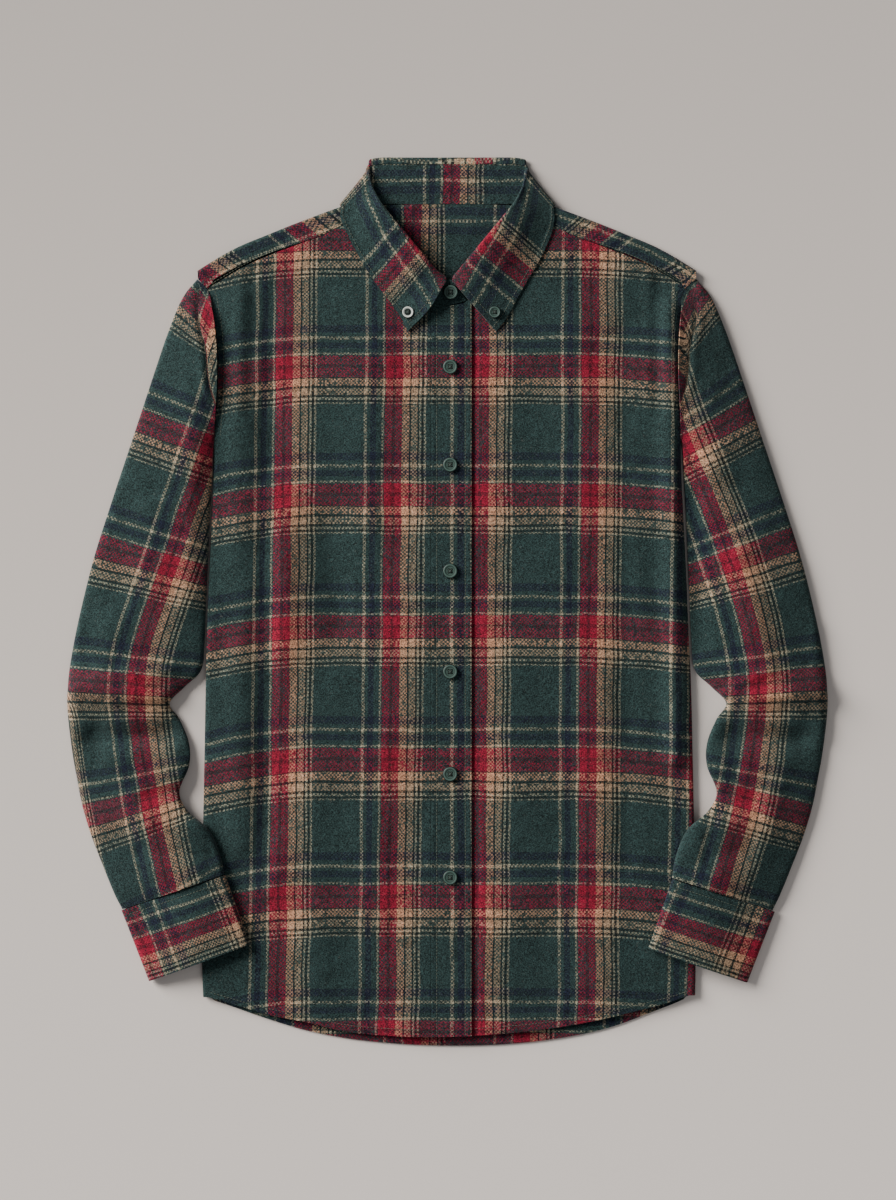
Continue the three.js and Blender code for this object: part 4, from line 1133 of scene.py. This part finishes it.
def button_planter():
    """One button on each point."""
    buttons = Planter("row of buttons", [("Button", "NodeSocketObject"), ("Material", "NodeSocketMaterial")])
    nodes, start = buttons.nodes, buttons.start
    button = {"Object": start["Button"]}
    source = nodes.add("GeometryNodeObjectInfo", button, transform_space="ORIGINAL")
    points = nodes.add("GeometryNodeMeshToPoints", {"Mesh": start["Geometry"]})
    buttons.plant(points.outputs[0], source.outputs["Geometry"])
    return buttons


STITCHES, BUTTONS = stitch_planter(), button_planter()


def sew(name, lines, pitch=3.0, size=(2.3, 0.5, 0.45), thread=THREAD):
    """Stitches along lines of points on the cloth."""
    vertices, edges = [], []
    for line in lines:
        first = len(vertices)
        vertices += list(line)
        edges += [(k, k + 1) for k in range(first, len(vertices) - 1)]
    size = tuple(v * MM for v in size)
    piece = STITCHES.grow(name, vertices, edges, Pitch=pitch * MM, Size=size, Material=thread)
    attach(piece, "root")
    return piece


def button_row(name, source, places, material):
    piece = BUTTONS.grow(name, places, [], Button=source, Material=material)
    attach(piece, "root")
    return piece


def thread_cross(name, places, spread):
    """Two threads over each button, from hole to hole."""
    lines = []
    for x, y, z in places:
        top = z + BUTTON_THICKNESS * 0.82
        for a, b in (((-1, -1), (1, 1)), ((-1, 1), (1, -1))):
            line = []
            for t in np.linspace(0, 1, 9):
                height = top + 0.45 * math.sin(math.pi * t) - 1.0 * (abs(2 * t - 1) ** 8)
                line.append((x + mix(a[0], b[0], t) * spread, y + mix(a[1], b[1], t) * spread, height))
            lines.append(line)
    return sew(name, lines, pitch=0.5, size=(0.9, 0.62, 0.62), thread=BUTTON_THREAD)


# The camera looks straight down on the laid shirt

PICTURE_HEIGHT = 1.08
CAMERA_HEIGHT = 2.6
CLOTH_TOP = 0.004
SENSOR = 24
camera_data = bpy.data.cameras.new("camera")
camera = link("camera", camera_data)
camera.location = (0.5 * MM, 1.4 * MM, CAMERA_HEIGHT)
camera_data.sensor_fit = "VERTICAL"
camera_data.sensor_height = SENSOR
camera_data.lens = SENSOR * (CAMERA_HEIGHT - CLOTH_TOP) / PICTURE_HEIGHT
camera_data.clip_end = 50
bpy.context.scene.camera = camera


# Pieces

def settle(piece, flat, area, rests_on, *nodes, with_pieces=()):
    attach(piece, "root")
    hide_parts(*nodes)


back = build_back()
front_left = build_front("front_left_panel", -1, PLACKET_LEFT - SEAM_GAP / 2, front_z)
front_right = build_front("front_right_panel", 1, UNDERLAP_EDGE, underlap_z)
placket = build_placket()
yoke = build_yoke()
stand = build_stand()
leaf, leaf_grid = build_leaf()
sleeve_left = build_sleeve("left_sleeve", -1)
sleeve_right = build_sleeve("right_sleeve", 1)
cuff_left, cuff_left_grid = build_cuff("left_cuff", -1)
cuff_right, cuff_right_grid = build_cuff("right_cuff", 1)

on_shank = np.array([0, 0, BUTTON_SHANK])
placket_top = PLACKET_LEVEL + FOLDED_BAND / 2
front_places = [(FRONT_BUTTON_X, y, placket_top) + on_shank for y in FRONT_BUTTON_Y]
neck_place, left_place, right_place = (
    [place + on_shank] for place in (NECK_BUTTON, COLLAR_BUTTON_LEFT, COLLAR_BUTTON_RIGHT)
)
large = button_body("large_button", BUTTON_DIAMETER, RESIN)
small = button_body("small_button", COLLAR_BUTTON_DIAMETER, RESIN)
placket_buttons = button_row("placket_buttons", large, front_places, RESIN)
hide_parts(*[f"button_front_{k + 1}" for k in range(6)])
neck_button = button_row("neck_button", large, neck_place, RESIN)
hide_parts("button_neck")
left_button = button_row("left_collar_button", small, left_place, RIMMED)
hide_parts("button_collar_left")
right_button = button_row("right_collar_button", small, right_place, RESIN)
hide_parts("button_collar_right")
bpy.data.objects.remove(large)
bpy.data.objects.remove(small)
placket_threads = thread_cross("placket_button_threads", front_places + neck_place, 1.6)
collar_threads = thread_cross("collar_button_threads", left_place + right_place, 1.3)


# Sewing

def on_front(x, y):
    return together(x, y, front_z(x, y) + CLOTH / 2 + THREAD_LIFT)


def on_placket(x):
    y = np.linspace(262, -389, 90)
    return together(0 * y + x, y, 0 * y + PLACKET_LEVEL + FOLDED_BAND / 2 + THREAD_LIFT)


body_lines = [on_placket(PLACKET_LEFT + STITCH_INSET), on_placket(PLACKET_RIGHT - STITCH_INSET)]
for side in (-1, 1):
    x = np.linspace(98, 214, 60)
    body_lines.append(on_front(side * x, shoulder_seam(x) + 2.2))
    hem_x = np.linspace(26, 212, 90) * side
    body_lines.append(on_front(hem_x, hem_y(hem_x) + 6.5))
    y = np.linspace(278, 150, 70)
    body_lines.append(on_front(side_x(side, y) - side * 5.5, y))
body_stitches = sew("body_stitches", body_lines)

collar_rise = (0, 0, COLLAR_CLOTH / 2 + COLLAR_THREAD_LIFT)
collar_lines = [leaf_grid[:40, -4] + collar_rise, leaf_grid[-40:, -4] + collar_rise]
for column, shift in ((0, 6), (-1, -6)):
    edge_line = leaf_grid[column, 8:-3]
    toward = leaf_grid[column + shift, 8:-3] - edge_line
    toward /= np.linalg.norm(toward, axis=1, keepdims=True)
    collar_lines.append(edge_line + toward * STITCH_INSET + collar_rise)
collar_stitches = sew("collar_stitches", collar_lines)

cuff_rise = (0, 0, FOLDED_BAND / 2 + THREAD_LIFT)
cuff_lines = [grid[row, 5:38] + cuff_rise for grid in (cuff_left_grid, cuff_right_grid) for row in (2, -3)]
cuff_stitches = sew("cuff_stitches", cuff_lines)

settle(back, (0.47, 0.68), 0.29, "floor", "back")
settle(front_left, (0.24, 0.75), 0.137, "back_panel", "front_left", with_pieces=[body_stitches])
settle(front_right, (0.26, 0.75), 0.155, "back_panel", "front_right")
settle(placket, (0.037, 0.665), None, "front_right_panel", "placket", with_pieces=[placket_threads])
settle(yoke, (0.5, 0.125), 0.045, "floor", "yoke")
settle(stand, (0.46, 0.035), 0.0125, "yoke_panel", "collar_stand")
settle(leaf, (0.48, 0.062), 0.023, ["yoke_panel", "front_left_panel", "front_right_panel"], "collar_leaf",
       with_pieces=[collar_stitches, collar_threads])
settle(sleeve_left, (0.3, 0.6), 0.1, ["floor", "front_left_panel"], "sleeve_left")
settle(sleeve_right, (0.3, 0.6), 0.1, ["floor", "front_right_panel"], "sleeve_right")
settle(cuff_left, (0.2, 0.068), None, "front_left_panel", "cuff_left", with_pieces=[cuff_stitches])
settle(cuff_right, (0.2, 0.068), None, "front_right_panel", "cuff_right")


# Floor and light

FLOOR_REACH, FLOOR_LEVEL = 6000, -0.3
# The paper is painted darker towards the top left and lighter towards the bottom right: a painted falloff of
# the lamp's light.
PAPER_PAINTED_LIT, PAPER_PAINTED_SHADE, PAPER_SPECK = (238, 228, 220), (166, 159, 153), (170, 164, 158)


def paper_material():
    finish = Finish("pale paper")
    nodes = finish.nodes
    split = nodes.add("ShaderNodeSeparateXYZ", {0: finish.place}).outputs
    # Painted shade: the mix runs darker towards the top and towards the left.
    far = nodes.total(nodes.scaled(split[1], 0.62, 0.48), nodes.scaled(split[0], -0.34))
    far = nodes.between(0.0, far, 1.0)
    colour = nodes.blend("MIX", far, linear(PAPER_PAINTED_LIT), linear(PAPER_PAINTED_SHADE))
    speck = nodes.noise(finish.place, 500, 3, 0.7)
    colour = nodes.blend("MIX", nodes.scaled(speck, 0.08), colour, linear(PAPER_SPECK))
    return finish.done(colour, Roughness=0.9, Specular_IOR_Level=0.1)


floor_signs = ((-1, -1), (1, -1), (1, 1), (-1, 1))
floor_corners = [(x * FLOOR_REACH, y * FLOOR_REACH, FLOOR_LEVEL) for x, y in floor_signs]
floor = link("floor", mesh_of("floor", floor_corners, [], [(0, 1, 2, 3)], paper_material()))


def soft_box(name, place, size, power, colour):
    lamp = bpy.data.lights.new(name, "AREA")
    lamp.shape = "RECTANGLE"
    lamp.size, lamp.size_y = size
    lamp.energy = power
    lamp.color = colour
    holder = link(name, lamp)
    holder.location = place
    holder.rotation_euler = (-holder.location).to_track_quat("-Z", "Y").to_euler()


soft_box("window light", (-4.4, 2.5, 2.1), (3.0, 2.6), 860, (1.0, 0.975, 0.945))
soft_box("bounce light", (1.5, -2.4, 2.6), (2.4, 2.4), 16, (1.0, 0.99, 0.98))
world = bpy.data.worlds.new("room")
world.use_nodes = True
world.node_tree.nodes["Background"].inputs[0].default_value = (0.93, 0.95, 1.0, 1)
world.node_tree.nodes["Background"].inputs[1].default_value = 0.22
bpy.context.scene.world = world

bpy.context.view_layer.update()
